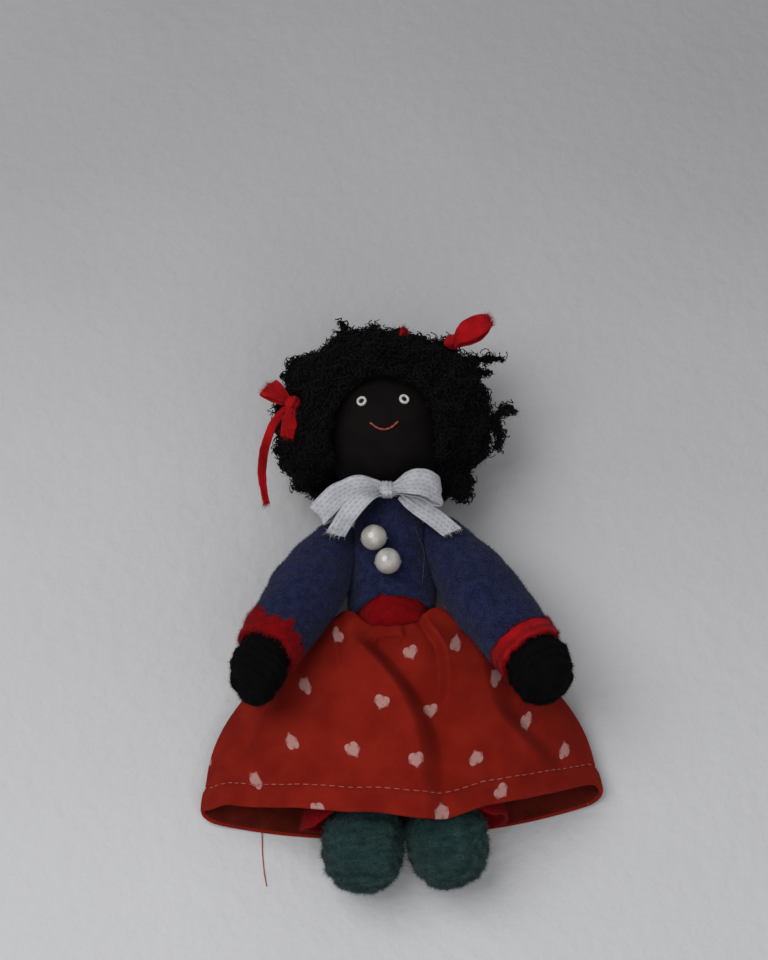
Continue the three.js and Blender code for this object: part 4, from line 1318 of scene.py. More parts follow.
@dataclass
class Arm(Limb):
    """One padded sleeve with its cuff and its wound hand."""

    joint: Triple = (10.4, 7.4, 9.6)
    room: float = 5.3
    first_seed: int = 100
    spread: float = 30.0
    rise: float = 20.0
    length: float = 25.6
    top: float = 10.0
    upper: float = 12.4
    elbow: float = 14.6
    forearm: float = 13.4
    wrist: float = 12.2
    felt: float = 1.2
    cuff: Finish = CUFF_FELT
    cuff_length: float = 3.4
    cuff_thickness: float = 1.2
    cuff_peaks: Sequence[Triple] = ()
    cuff_fuzz: float = 0.2
    cuff_fray: float = 0.85
    frayed_end: float = 0.0
    hand_length: float = 14.6
    hand_width: float = 10.4
    hand_bend: float = 2.0
    hand_girths: Stations = ((0.14, 0.94), (0.4, 1), (0.7, 0.88), (0.9, 0.55), (1, 0.2))
    palm_start: float = 3.6

    @property
    def place(self) -> Matrix:
        """From the arm's own lengths to the doll's."""
        turn = Matrix.Rotation(math.radians(self.spread) * self.side.value, 4, "Z")
        return Matrix.Translation(self.pivot) @ turn @ Matrix.Rotation(-math.radians(self.rise), 4, "X")

    def build(self) -> None:
        """Builds every piece of the arm."""
        self.build_sleeve()
        self.build_cuff()
        self.build_hand()

    def sleeve_rows(self) -> Array:
        """Turns the sleeve's plain shape, with a round shoulder and a hollow wrist.

        Returns:
            Rows of points in the arm's own lengths.
        """
        at = np.linspace(0, self.length - 0.4, 74)
        girths = (self.top, self.upper, self.elbow, self.forearm, self.wrist)
        swell = curve_through(list(zip((0, 0.2, 0.5, 0.8, 1), girths)), 60)
        radii = np.interp(at / self.length, swell[:, 0], swell[:, 1]) / 2
        half, end = self.felt / 2, 0.4 - self.length
        inner = self.wrist / 2 - self.felt
        lip = [(self.wrist / 2 - half + half * math.cos(a), end - 0.4 * math.sin(a))
               for a in np.radians([30, 60, 90, 120, 150])]
        inside = [(inner, end), (inner, end + 1.1), (inner * 0.96, end + 3.1)]
        return turned([*ball_profile(self.top / 2, 6, 86, 14), *zip(radii, -at), *lip, *inside], LIMB_COLUMNS)

    def build_sleeve(self) -> None:
        """Builds the padded felt sleeve, creased at the elbow."""
        rows = self.sleeve_rows()
        angle = round_angles(LIMB_COLUMNS)
        down = -rows[..., 1]
        worn = smooth(down, 1, 6) * smooth(-down, -self.length + 0.2, -self.length + 4)
        bumps = 0.14 * ripple(rows, 9, self.seed) + 0.06 * ripple(rows, 3.5, self.seed + 1)
        sway = 1.6 * np.sin(angle + 0.6) + 0.9 * ripple(rows, 12, self.seed + 2)
        creases = 0.2 * np.sin(down * 1.15 + sway)
        elbow = np.exp(-(((down - self.length * 0.46) / 6.5) ** 2)) * (0.5 + 0.5 * np.cos(angle - 2.2))
        rows = moved(puffed(rows, worn * (bumps - 0.15 + creases * elbow)), self.place)
        rows = above(OUTLINE.clear(rows, 2.4 + GAP, self.pivot, 4.6), 0.05)
        obj = skin(self.named("padded_sleeve"), rows)
        dress(obj, NAVY, self.body, self.named("sleeve"), self.named("arm_stuffing"))
        mark(obj, "grow", smooth(points_of(obj)[:, 2], 1, 6))
        self.tools.fuzz(obj, NAVY_NAP, self.body, self.seed + 3, per_mm2=12, length=0.5, scatter=1.8)

    def build_cuff(self) -> None:
        """Builds the red cuff with its frayed edges."""
        half = self.cuff_length / 2
        middle = -self.length - GAP - half
        radius = (self.wrist - self.cuff_thickness) / 2
        turn = round_angles(28)
        wide, long = (np.sign(part) * np.abs(part) ** 0.4 * size / 2 for part, size in (
            (np.cos(turn), self.cuff_thickness), (np.sin(turn), self.cuff_length)))
        rows = turned(zip(radius + wide, middle + long), LIMB_COLUMNS)
        flat = rows * FLAT
        out = unit(flat)
        uneven = 0.22 * ripple(flat, 4, self.seed + 4) + 0.1 * ripple(flat, 1.2, self.seed + 5)
        rows[..., 1] += smooth(np.abs(rows[..., 1] - middle), 0.8, half) * uneven
        bumps = 0.1 * ripple(rows, 5, self.seed + 6) + 0.04 * ripple(rows, 1.5, self.seed + 7)
        rows += out * (smooth(wide, -0.2, 0.4)[:, None] * bumps)[..., None]
        angle = np.degrees(round_angles(LIMB_COLUMNS))
        peak = sum(high * np.maximum(0, 1 - np.abs(angle - at) / reach)
                   for at, high, reach in self.cuff_peaks)
        raised = (smooth(wide, 0, 0.4) * smooth(long, 0, half))[:, None] * peak
        rows[..., 1] += raised
        rows += out * (0.3 * np.minimum(raised, 1.5))[..., None]
        obj = skin(self.named("red_cuff"), moved(rows, self.place), joined=True)
        dress(obj, self.cuff, self.body, self.named("cuff"))
        local = self.local(obj)
        out = unit(local * FLAT)
        frayed = smooth(np.abs(local[:, 1] - middle), half - 0.7, half)
        end = self.frayed_end * smooth(out[:, 0] * self.side.value, 0.86, 0.98)
        mark(obj, "grow", frayed + self.cuff_fuzz + end)
        way = out * (0.35 + end)[:, None]
        way[:, 1] += np.sign(local[:, 1] - middle) * frayed + 0.6 * end
        self.comb(obj, way)
        self.tools.fuzz(obj, CUFF_NAP, self.body, self.seed + 8, per_mm2=16, length=self.cuff_fray, lift=0.3,
                        comb=1.2, scatter=0.8, segments=2)

    def build_hand(self) -> None:
        """Builds the hand, wound in dark pile."""
        start = self.length + GAP
        wrist = self.wrist / 2 - self.cuff_thickness - GAP
        palm = start + self.palm_start
        length = self.hand_length - self.palm_start
        girths = [(0, wrist), *((at, self.hand_width / 2 * wide) for at, wide in self.hand_girths)]
        share = np.linspace(0, 1, 64)
        fist = zip(between(girths, share), -palm - length * share)
        rows = turned([(wrist, -start), (wrist, -palm + 0.3), *fist], LIMB_COLUMNS)
        down = -rows[..., 1]
        depth = 0.42 * smooth(down, palm + 0.4, palm + 2.4)
        rows = self.wound(rows, 2.1, (0.5, 9), (0.8, 4.5), depth, self.seed + 10)
        rows[..., 0] -= self.side.value * self.hand_bend * (np.maximum(down - palm, 0) / length) ** 1.4
        obj = skin(self.named("wound_hand"), above(moved(rows, self.place), 0.05))
        dress(obj, PILE, self.body, self.named("hand"))
        mark(obj, "grow", smooth(-self.local(obj)[:, 1], palm, palm + 1))
        self.comb_round(obj)
        self.tools.fuzz(obj, PILE_NAP, self.body, self.seed + 12, per_mm2=16, length=0.6, lift=0.5, comb=0.7,
                        scatter=0.7)


@dataclass
class Leg(Limb):
    """One stuffed leg with its flared trouser leg and its wound boot."""

    joint: Triple = (4.8, -14.4, 8.5)
    room: float = 4.4
    first_seed: int = 200
    splay: float = 4.6
    length: float = 45.5
    diameter: float = 8.2
    boot_length: float = 17.0
    boot_width: float = 14.8
    boot_depth: float = 14.6
    boot_socket: float = 7.0
    boot_girths: Stations = ((0, 0.62), (0.4, 1), (0.6, 1), (0.78, 0.9), (0.92, 0.66), (1, 0.3))
    trouser_start: float = 6.0
    trouser_length: float = 25.0
    trouser_width: float = 18.6
    trouser_depth: float = 14.4
    trouser_flare: float = 2.6
    trouser_slant: float = 3.0
    trouser_felt: float = 0.8

    @property
    def place(self) -> Matrix:
        """From the leg's own lengths to the doll's."""
        turn = Matrix.Rotation(math.radians(self.splay) * self.side.value, 4, "Z")
        return Matrix.Translation(self.pivot) @ turn

    def build(self) -> None:
        """Builds every piece of the leg."""
        self.build_stuffing()
        self.build_trouser()
        self.build_boot()

    def build_stuffing(self) -> None:
        """Builds the stuffed leg inside the trouser."""
        radius = self.diameter / 2
        end = self.length - self.boot_length + self.boot_socket
        shaft = [(radius, -at) for at in np.linspace(0, end, 46)]
        rows = turned([*ball_profile(radius, 12, 84, 10), *shaft], 64)
        rows = puffed(rows, -0.1 - 0.09 * ripple(rows, 5, self.seed))
        obj = skin(self.named("stuffed_leg"), moved(rows, self.place))
        dress(obj, LEG_CLOTH, self.body, self.named("leg_stuffing"))

    def build_trouser(self) -> None:
        """Builds the flared felt trouser leg."""
        share = np.linspace(0, 1, 44)[:, None]
        snug = self.diameter / 2 + GAP + self.trouser_felt
        angle = round_angles(LIMB_COLUMNS)
        sides = []
        for inset in (0, self.trouser_felt):
            width, depth = (snug + (whole / 2 - snug) * share - inset
                            for whole in (self.trouser_width, self.trouser_depth))
            x = width * np.cos(angle) + self.trouser_flare * share * self.side.value
            y = np.broadcast_to(-self.trouser_start - self.trouser_length * share, x.shape)
            sides.append(np.stack([x, y, depth * np.sin(angle)], -1))
        outside, inside = sides
        wave = smooth(share, 0.75, 1) * 0.3 * ripple(outside * FLAT, 6, self.seed + 1)
        slant = self.trouser_slant * share**2 * smooth(np.cos(angle) * self.side.value, 0, 0.8)
        for rows in (outside, inside):
            rows[..., 1] += wave - slant
        obj = skin(self.named("trouser_felt"), moved(shell(outside, inside), self.place), joined=True)
        dress(obj, RED_FELT, self.body, self.named("trouser_leg"))
        self.named("stuffed_leg")
        mark(obj, "grow", smooth(-points_of(obj)[:, 1], 36, 42))
        self.tools.fuzz(obj, RED_NAP, self.body, self.seed + 2, per_mm2=7.5, length=0.55, scatter=1.4)

    def build_boot(self) -> None:
        """Builds the boot, wound in brushed teal wool."""
        share = np.concatenate([np.linspace(0, 0.9, 60), np.linspace(0.915, 1, 14)])
        y = self.boot_length - self.length - self.boot_length * share
        rows = turned(zip(between(self.boot_girths, share), y), LIMB_COLUMNS)
        rows = rows * (self.boot_width / 2, 1, self.boot_depth / 2)
        depth = 0.3 * smooth(share, 0.02, 0.15)[:, None]
        rows = self.wound(rows, 2.6, (0.7, 11), (0.5, 5), depth, self.seed + 3)
        obj = skin(self.named("wound_boot"), above(moved(rows, self.place), 0.3))
        dress(obj, TEAL, self.body, self.named("boot"))
        self.comb_round(obj)
        self.tools.fuzz(obj, TEAL_NAP, self.body, self.seed + 5, per_mm2=15, length=0.9, thickness=0.06,
                        lift=0.5, comb=0.8, scatter=0.9, segments=2)


@dataclass(frozen=True)
class Pleat:
    """A fold whose upper cloth ends in an edge over a valley.

    Its line holds pairs of a place along it and its place across. The upper cloth lies on the side of
    smaller places across where side is -1, and of larger ones where it is 1.
    """

    line: Stations
    heights: Stations
    side: int
    lead: float
    fall: float
    run: float
    valley: float = 0.9

    def lift(self, across: Array, along: Array) -> Array:
        """Finds how far the fold lifts or sinks the cloth.

        Args:
            across: Places across its line.
            along: Places along its line.

        Returns:
            Heights over the plain cloth.
        """
        edge = curve_through(self.line, 80)
        off = (np.interp(along, edge[:, 0], edge[:, 1]) - across) * self.side
        upper = np.exp(np.minimum(off, 0) / self.lead)
        low = -self.valley * np.exp(-np.maximum(off - self.fall, 0) / self.run)
        step = smooth(off, 0, self.fall)
        return between(self.heights, along) * (upper * (1 - step) + low * step)


@dataclass
class Skirt:
    """The gathered cotton skirt with its stitched hem."""

    tools: Tools
    cloth: float = 0.7
    clearance: float = 1.4
    top: float = -8.0
    dip: float = 3.4
    hem: float = -48.4
    front_rise: float = 7.5
    back_rise: float = 5.0
    side_turn: float = 0.4
    width: float = 74.6
    depth: float = 20.6
    bell: float = 2.6
    corner: float = 0.02
    flank_rise: float = 1.5
    flank_puff: float = 1.3
    gathers: int = 13
    gather_depth: float = 0.5
    flat_back: float = 0.35
    tent: float = 1.8
    side_height: float = 0.15
    hem_fold: float = 4.6
    hem_line: Stations = (
        (-1, -0.8), (-0.85, 0.8), (-0.45, 1.4), (-0.2, 0.9), (0.16, -0.8), (0.43, 0.7), (1, 0.7))
    folds: tuple[tuple[float, float, float, float], ...] = (
        (0.72, 0.42, 0.16, 2.0), (-0.75, -0.50, 0.16, 2.0), (0.62, -0.25, 0.12, 1.0))
    pleats: tuple[Pleat, ...] = (
        Pleat(((-49, 3.4), (-43.9, 3.0), (-34.3, 2.8), (-26.4, 0.3), (-18.7, -4.3), (-15.1, -7.2), (-11, -9)),
              ((-49, 0.7), (-42, 1.2), (-34, 1.9), (-24, 2.1), (-15, 1.7), (-11, 0.9)), -1, 8, 4.6, 8, 1.6),
        Pleat(((-32, 7.4), (-26.6, 9.0), (-22.6, 9.8), (-16.2, 9.7), (-11.5, 7.5), (-9, 6.4)),
              ((-32, 0), (-26, 1.1), (-20, 1.9), (-13, 2.0), (-10, 1.2)), 1, 5, 2.2, 4.5, 0.7),
        Pleat(((-43, 27), (-37.3, 25), (-34.3, 22.4), (-28, 17.8), (-17.9, 15.9), (-11, 13)),
              ((-43, 0), (-36, 1.1), (-28, 1.5), (-18, 0.9), (-12, 0)), -1, 6, 5.0, 6, 1.3),
        Pleat(((-21, -10.2), (-18.4, -10.6), (-14.8, -11.0), (-10, -11.2)),
              ((-21, 0), (-17, 0.5), (-12, 0.6), (-9.5, 0.5)), -1, 1.6, 0.9, 1.4),
        Pleat(((-37, -28), (-29, -26), (-23, -24.5)), ((-36, 0), (-29, 0.9), (-24.5, 0)), 1, 4, 1.6, 3),
    )
    tuck: Pleat = Pleat(((-4.2, -13.2), (-1, -13.1), (2.4, -13.4)),
                        ((-4, 0), (-3, 0.8), (1.4, 0.75), (2.2, 0)), 1, 1.5, 0.5, 1.0, 0.8)
    thread: Sequence[Triple] = (
        (-27.0, -43, 0.6), (-26.9, -46.7, 0.3), (-26.9, -50, 0.15), (-26.7, -53.5, 0.15),
        (-26.3, -56.4, 0.15))
    columns: int = 420
    body_rows: int = 81
    hem_rows: int = 28
    inner_step: int = 3

    @property
    def length(self) -> float:
        """From the waist to the hem."""
        return abs(self.hem - self.top)

    def surface(self, share: Array, inset: float, folded: bool = True) -> Array:
        """Draws one side of the cloth.

        Args:
            share: Places from the waist, 0, to the hem, 1.
            inset: How far inside the cloth's outer side.
            folded: Whether its pleats and puckers are drawn.

        Returns:
            Rows of points that start at the back and lie closest at the front.
        """
        even = round_angles(self.columns)
        angle = even + 0.45 * np.sin(even) - math.pi / 2
        t = share[:, None]
        c, s = np.cos(angle), np.sin(angle)
        front = np.maximum(s, 0)
        spread = 1 - (1 - t) ** self.bell
        to_front = smooth(s, -self.side_turn, self.side_turn)
        rise = self.back_rise + (self.front_rise - self.back_rise) * to_front
        hem = self.hem + rise * c * c + smooth(s, 0, 0.35) * between(self.hem_line, c)
        flank = smooth(np.abs(c), 0.5, 0.95) * (1 - t) ** 3
        y = (self.top - self.dip * front**2) * (1 - t) + hem * t + self.flank_rise * flank
        width, depth, z = OUTLINE.halves(np.array(self.top))
        uneven = self.gathers * angle + 0.8 * np.sin(3 * angle + 0.5)
        gather = self.gather_depth * (1 + np.cos(uneven)) * (1 - t) ** 1.6 * (1 - 0.6 * front)
        snug = self.clearance + self.cloth + gather + self.flank_puff * flank - inset
        turn = self.depth * self.side_height
        back_z = turn - (turn - inset) * np.abs(s) ** self.flat_back
        front_z = turn + (self.depth - inset - turn) * front**self.tent
        hem_z = np.where(s < 0, back_z, front_z)
        x = (width + snug) * c * (1 - spread) + (self.width / 2 - inset) * c * spread
        x = x * (1 + self.corner * smooth(t, 0.82, 1))
        height = (z + (depth + snug) * s) * (1 - spread) + hem_z * spread
        height = height - front * self.valley(c, t)
        if folded:
            height = height + smooth(s, 0.02, 0.3) * self.relief(x, y, t)
        soft = np.stack([x, y, 0 * x], -1)
        height = height + front * t * (1 - 0.3 * t) * 0.5 * ripple(soft, 13, 301)
        return np.stack([x, y, np.maximum(height, inset + 0.03)], -1)

    def relief(self, x: Array, y: Array, share: Array) -> Array:
        """Adds up the pleats, the tuck and the small puckers along the hem's stitches.

        Args:
            x: Places across.
            y: Places along.
            share: Shares of the skirt's length.

        Returns:
            Heights over the plain cloth.
        """
        soft = np.stack([x, y, 0 * x], -1)
        line = self.length * (1 - share) - self.hem_fold
        pucker = ripple(soft, 2.6, 302) * np.exp(-((line / 2) ** 2)) + share * ripple(soft, 5, 303)
        return 0.14 * pucker + self.tuck.lift(y, x) + sum(pleat.lift(x, y) for pleat in self.pleats)

    def valley(self, across: Array, share: Array) -> Array:
        """Adds up the depth of the large soft folds.

        Args:
            across: Shares of half the skirt's width.
            share: Shares of its length.

        Returns:
            How far the cloth lies below its plain shape.
        """
        rise = np.maximum(np.sin(math.pi * np.minimum(1, 0.15 + share)), 0.4)
        total = 0
        for start, end, wide, deep in self.folds:
            off = (across - (start + (end - start) * share)) / wide
            total = total + deep * (1 - share) * rise * np.exp(-off * off)
        return total

    def flat_places(self, rows: Array) -> Array:
        """Lays the cloth out from its front middle, so that the print keeps its size.

        Args:
            rows: The cloth's outer side.

        Returns:
            Places on the cloth.
        """
        ring = np.concatenate([rows, rows[:, :1]], 1)
        across, along = np.zeros((2, *ring.shape[:2]))
        across[:, 1:] = np.cumsum(lengths(np.diff(ring, axis=1)), 1)
        along[1:] = np.cumsum(lengths(np.diff(ring, axis=0)), 0)
        across -= across[:, [self.columns // 2]]
        return np.stack([across, along], -1) + 200

    def build(self) -> None:
        """Builds the skirt, its hem stitches and a loose thread."""
        share = np.concatenate([np.linspace(0, 0.86, self.body_rows), np.linspace(0.865, 1, self.hem_rows)])
        inner_share = share[::self.inner_step]
        hem_line = self.length - self.hem_fold
        past = share * self.length - hem_line
        raised = 0.2 * smooth(past, -0.5, 0.3) - 0.22 * np.exp(-((past / 0.5) ** 2))
        outside = above(puffed(self.surface(share, 0), raised[:, None]), 0.03)
        inside = self.surface(inner_share, self.cloth)
        places = self.flat_places(self.surface(share, 0, False))
        low, high = (np.repeat(places[[i]], len(EDGE_TURNS), 0) for i in (-1, 0))
        cloth = np.concatenate([places, low, places[::self.inner_step][::-1], high])
        obj = skin("cotton_skirt", above(shell(outside, inside), 0.02), joined=True, cloth=cloth)
        dress(obj, COTTON, "torso", "skirt")
        # The wrong side and the inner hem band are darkened as painted shade inside the skirt.
        for finish in (SHADED_WRONG_SIDE, SHADED_HEM_BAND):
            obj.data.materials.append(finish.material())
        hem_start = len(share) + len(EDGE_TURNS)
        hem_end = hem_start + int((inner_share * self.length > hem_line).sum())
        numbers = np.zeros((len(obj.data.polygons) // self.columns, self.columns), int)
        numbers[hem_start:hem_end] = 2
        numbers[hem_end:hem_start + len(inside) - 1] = 1
        obj.data.polygons.foreach_set("material_index", numbers.ravel())
        row = int(np.argmin(np.abs(past)))
        stitches = self.tools.sew("hem_stitches", outside[row] + row_normals(outside)[row] * 0.08, HEM_THREAD,
                                  "torso", spacing=1.75, length=1.25, thickness=0.2, closed=True)
        thread = tube("loose_hem_thread", curve_through(self.thread, 50), 0.2)
        dress(thread, LOOSE_THREAD, "torso")


@dataclass
class Head:
    """The cloth-covered head with its stitched face and its curly wool hair."""

    tools: Tools
    neck: Triple = (0.0, 14.7, 11.8)
    tilt: float = 10.0
    diameter: float = 26.0
    neck_length: float = 2.0
    neck_width: float = 6.4
    eye: float = 2.0
    eye_spacing: float = 8.2
    eye_raise: float = 5.0
    eye_ring: Stations = (
        (1, -0.35), (1, 0.0), (0.97, 0.16), (0.86, 0.25), (0.72, 0.28), (0.58, 0.22), (0.5, 0.08),
        (0.5, -0.35))
    eye_centre: Stations = ((0.48, -0.3), (0.48, 0.06), (0.4, 0.15), (0.2, 0.2))
    mouth: float = 4.6
    mouth_drop: float = 22.0
    mouth_curve: float = 5.0
    hair_inset: float = 1.5
    curl_sets: tuple[tuple[str, float, float, float, float], ...] = (
        ("tight", 0.42, 0.8, 0.1, 0.85), ("close", 0.5, 0.9, 0.1, 0.8),
        ("open", 0.6, 1.1, 0.09, 0.65), ("loose", 0.8, 1.6, 0.08, 0.33))
    locks: tuple[tuple[float, float, tuple[Triple, ...]], ...] = (
        (1.3, 0.5, ((-4.5, 18, -1), (-6.4, 22.2, -1), (-7.2, 25, -1))),
        (0.9, 0.4, ((17, 14.6, -1), (21, 15.2, -1), (24.6, 15.1, -1))),
        (0.8, 0.4, ((17, 11, 0), (20, 11.8, 0), (21.8, 11.4, 0))),
        (0.9, 0.4, ((20.4, 0, 0), (22.6, 2, 0), (25, 3.8, 0), (26.6, 2.6, 0))),
        (1.1, 0.5, ((21, 0.6, 1), (22.8, -2.2, 1), (22, -5.4, 1))),
        (2.2, 0.9, ((-14, 12, 0), (-17, 13.2, 0), (-18.8, 12.8, 0))),
        (1.4, 0.6, ((-18, -3, 1), (-20, -3.4, 1), (-21.4, -3.4, 1))),
        (2.8, 1.5, ((11.4, -7.4, -2.4), (15, -11, -2.4), (13.8, -13.8, -2.4))),
        (2.8, 1.5, ((-12, -6, 0), (-15.6, -9, 0), (-16.2, -11.2, 0))),
        (2.8, 1.7, ((9, 13.5, 3), (12.5, 15.2, 3.2), (15, 15.4, 3.2))),
    )

    @property
    def radius(self) -> float:
        """The cloth ball's radius."""
        return self.diameter / 2

    @property
    def centre(self) -> Array:
        """The middle of the head."""
        lean = math.radians(self.tilt)
        return np.array([0, math.cos(lean), math.sin(lean)]) * (self.neck_length + self.radius) + self.neck

    @property
    def place(self) -> Matrix:
        """From the head's own lengths, with the neck along -Y, to the doll's."""
        return Matrix.Translation(self.centre) @ Matrix.Rotation(math.radians(self.tilt), 4, "X")

    def on_face(self, lift_angle: float, across: float, out: float) -> Array:
        """Finds a place on the face.

        Args:
            lift_angle: Degrees above the face's middle.
            across: Millimetres to the doll's left.
            out: Millimetres above the cloth.

        Returns:
            The place.
        """
        radius = self.radius + out
        y = radius * math.sin(math.radians(lift_angle))
        return self.centre + (across, y, math.sqrt(radius**2 - across**2 - y**2))

    def build(self) -> None:
        """Builds every piece of the head."""
        self.build_face()
        self.build_binding()
        for side in Side:
            self.build_eye(side)
        self.build_mouth()
        self.build_hair()

    def build_face(self) -> None:
        """Builds the stuffed cloth ball, drawn in a little towards the neck."""
        columns = 120
        rows = turned(ball_profile(self.radius, 2, 163, 84), columns)
        drawn = smooth(-rows[..., 1], 8, 13) * np.cos(14 * round_angles(columns)) * 0.12
        rows += unit(rows) * (0.06 * ripple(rows, 8, 401) - 0.05 + drawn)[..., None]
        obj = skin("head_cloth", moved(rows, self.place))
        dress(obj, SKIN, "head", "face_cloth", "head_stuffing")

    def build_binding(self) -> None:
        """Builds the thread wound round the neck."""
        top, bottom = -self.radius - GAP, -self.radius - self.neck_length + GAP
        y = np.linspace(top, bottom, 26)
        radius = self.neck_width / 2 - 0.14 + 0.14 * np.abs(np.sin(math.pi * (y - top) / 0.47))
        obj = skin("neck_winding", moved(turned(zip(radius, y), 60), self.place))
        dress(obj, SKIN, "head", "neck_binding")

    def build_eye(self, side: Side) -> None:
        """Builds one eye: a ring of white satin stitches round a dark centre.

        Args:
            side: Which eye.
        """
        at = self.on_face(self.eye_raise, side.value * self.eye_spacing / 2, 0.05)
        out = Vector(at - self.centre).normalized()
        place = Matrix.Translation(at) @ out.to_track_quat("Y", "Z").to_matrix().to_4x4()
        radius = self.eye / 2
        columns = 84
        rows = turned([(radius * wide, y) for wide, y in self.eye_ring], columns)
        rows[1:6, :, 1] += 0.07 * np.abs(np.sin(14 * round_angles(columns) + 0.4))
        ring = skin(f"{side.word}_eye_ring", moved(rows, place), joined=True)
        dress(ring, WHITE_THREAD, "head", f"{side.word}_eye")
        rows = turned([(radius * wide, y) for wide, y in self.eye_centre], 48)
        rows[..., 1] += 0.03 * np.sin(rows[..., 0] * 30)
        dress(skin(f"{side.word}_eye_centre", moved(rows, place)), DARK_THREAD, "head")

    def build_mouth(self) -> None:
        """Sews the small smile in back stitch."""
        route = np.array([self.on_face(-self.mouth_drop + self.mouth_curve * s * s, s * self.mouth / 2, 0.2)
                          for s in np.linspace(-1, 1, 40)])
        self.tools.sew("stitched_mouth", route, CORAL_THREAD, "head", "mouth", spacing=0.92, length=1.25,
                       thickness=0.44)

    def build_hair(self) -> None:
        """Builds the woolly mass of hair, its curls and its stray fibres."""
        core = self.hair_core()
        dress(core, WOOL_CORE, "head", "hair")
        points = points_of(core)
        out = unit(points - self.centre)
        facing = (read(core, "normal") * out).sum(1)
        far = lengths(points - self.centre)
        grow = np.maximum(smooth(facing, -0.45, 0.1), smooth(far, 21, 23))
        grow *= smooth(far, self.radius + 0.8, self.radius + 2) * smooth(points[:, 2], 0.6, 2.5)
        mark(core, "grow", grow)
        mark(core, "comb", out)
        for number, (kind, radius, height, yarn, density) in enumerate(self.curl_sets):
            curls = self.tools.curls.on(
                core, f"{kind}_curls", WOOL, 410 + number, Density=density / MM**2, Radius=radius * MM,
                Height=height * MM, Turns=1.3, Yarn=yarn * MM, Lift=0.3, Comb=0.3, Scatter=1.0)
            dress(curls, WOOL, "head")
        self.tools.fuzz(core, WOOL, "head", 420, per_mm2=3.0, length=1.7, thickness=0.045, lift=0.6, comb=0.4,
                        scatter=1.2, bend=0.8, segments=2, name="stray_hairs")

    def hair_core(self) -> Piece:
        """Rounds and clumps the hair's plain solid and adds its loose locks.

        Returns:
            The solid inside the curls.
        """
        plain = new_object("hair_mass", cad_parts["hair"].data.copy())
        plain.data.materials.clear()
        made = bmesh.new()
        made.from_mesh(plain.data)
        bmesh.ops.remove_doubles(made, verts=made.verts, dist=1e-6)
        made.to_mesh(plain.data)
        made.free()
        remesh = plain.modifiers.new("even", "REMESH")
        remesh.mode = "VOXEL"
        remesh.voxel_size = 0.6 * MM
        ease = plain.modifiers.new("ease", "SMOOTH")
        ease.factor, ease.iterations = 0.5, 8
        mesh = evaluated(plain, "hair_mass")
        bpy.data.objects.remove(plain)
        mesh.polygons.foreach_set("use_smooth", np.ones(len(mesh.polygons), bool))
        if "cloth" not in mesh.uv_layers:
            mesh.uv_layers.new(name="cloth")
        core = new_object("hair_mass", mesh)
        points = points_of(core)
        far = lengths(points - self.centre)
        clump = 0.9 * ripple(points, 7, 431) + 0.45 * ripple(points, 3, 432) - self.hair_inset
        clump *= smooth(far, self.radius + 0.6, self.radius + 4)
        points = points + read(core, "normal") * clump[:, None]
        off = points - self.centre
        points[:, 0] -= 0.6 * smooth(off[:, 0], 7, 16) * smooth(-off[:, 1], 1, 12)
        points[:, 0] -= 0.1 * off[:, 0] * smooth(off[:, 1], 9, 18)
        put_points(core, above(points, 0.05))
        mesh.update()
        made = bmesh.new()
        made.from_mesh(mesh)
        for root, tip, route in self.locks:
            middle = self.centre + curve_through(route, 26)
            fat = np.linspace(root, tip, len(middle)) * (1 + 0.14 * ripple(middle, 2.4, 441))
            lock = skin("lock", rings_round(middle, fat, 12, (0.0, 0.0, 1.0)))
            made.from_mesh(lock.data)
            bpy.data.objects.remove(lock)
        made.to_mesh(mesh)
        made.free()
        return core


@dataclass
class RibbonStrip:
    """A soft ribbon along stations, each a place and the half width across it."""

    name: str
    stations: Route
    seed: int
    pleats: float
    crumple: float
    thickness: float = 0.34
    cut: float = 0.0
    along: int = 90
    across: int = 18

    def build(self, origin: Array) -> Piece:
        """Builds the strip with two sides and closed edges.

        Args:
            origin: Where the stations are measured from.

        Returns:
            The strip, with its cloth's width and length in its UV map.
        """
        middle, half = np.split(curve_through(self.stations, self.along), 2, axis=1)
        run = unit(np.gradient(middle, axis=0))
        width = lengths(half)[:, None]
        half = unit(half - run * (half * run).sum(1, keepdims=True)) * width
        up = unit(np.cross(run, half))
        share = np.linspace(-1, 1, self.across)
        rows = middle[:, None] + half[:, None] * share[None, :, None]
        end = smooth(np.linspace(0, 1, self.along), 0.7, 1)[:, None]
        rows += run[:, None] * (end * self.cut * share[None])[..., None]
        widest = width.max()
        pleat = self.pleats * (1 - width / widest) * np.cos(share[None] * math.pi * 3)
        soft = self.crumple * (ripple(rows, 5, self.seed) + 0.4 * ripple(rows, 1.8, self.seed + 1))
        rows = rows + up[:, None] * (pleat + soft)[..., None]
        lift = up[:, None] * self.thickness / 2
        closed = np.concatenate([rows + lift, (rows - lift)[:, ::-1]], 1) + origin
        length = np.concatenate([[0], np.cumsum(lengths(np.diff(middle, axis=0)))])
        over = (share + 1) * widest
        over = np.concatenate([over, over[::-1], over[:1]])
        return skin(self.name, closed, cloth=np.stack(np.broadcast_arrays(over[None], length[:, None]), -1))


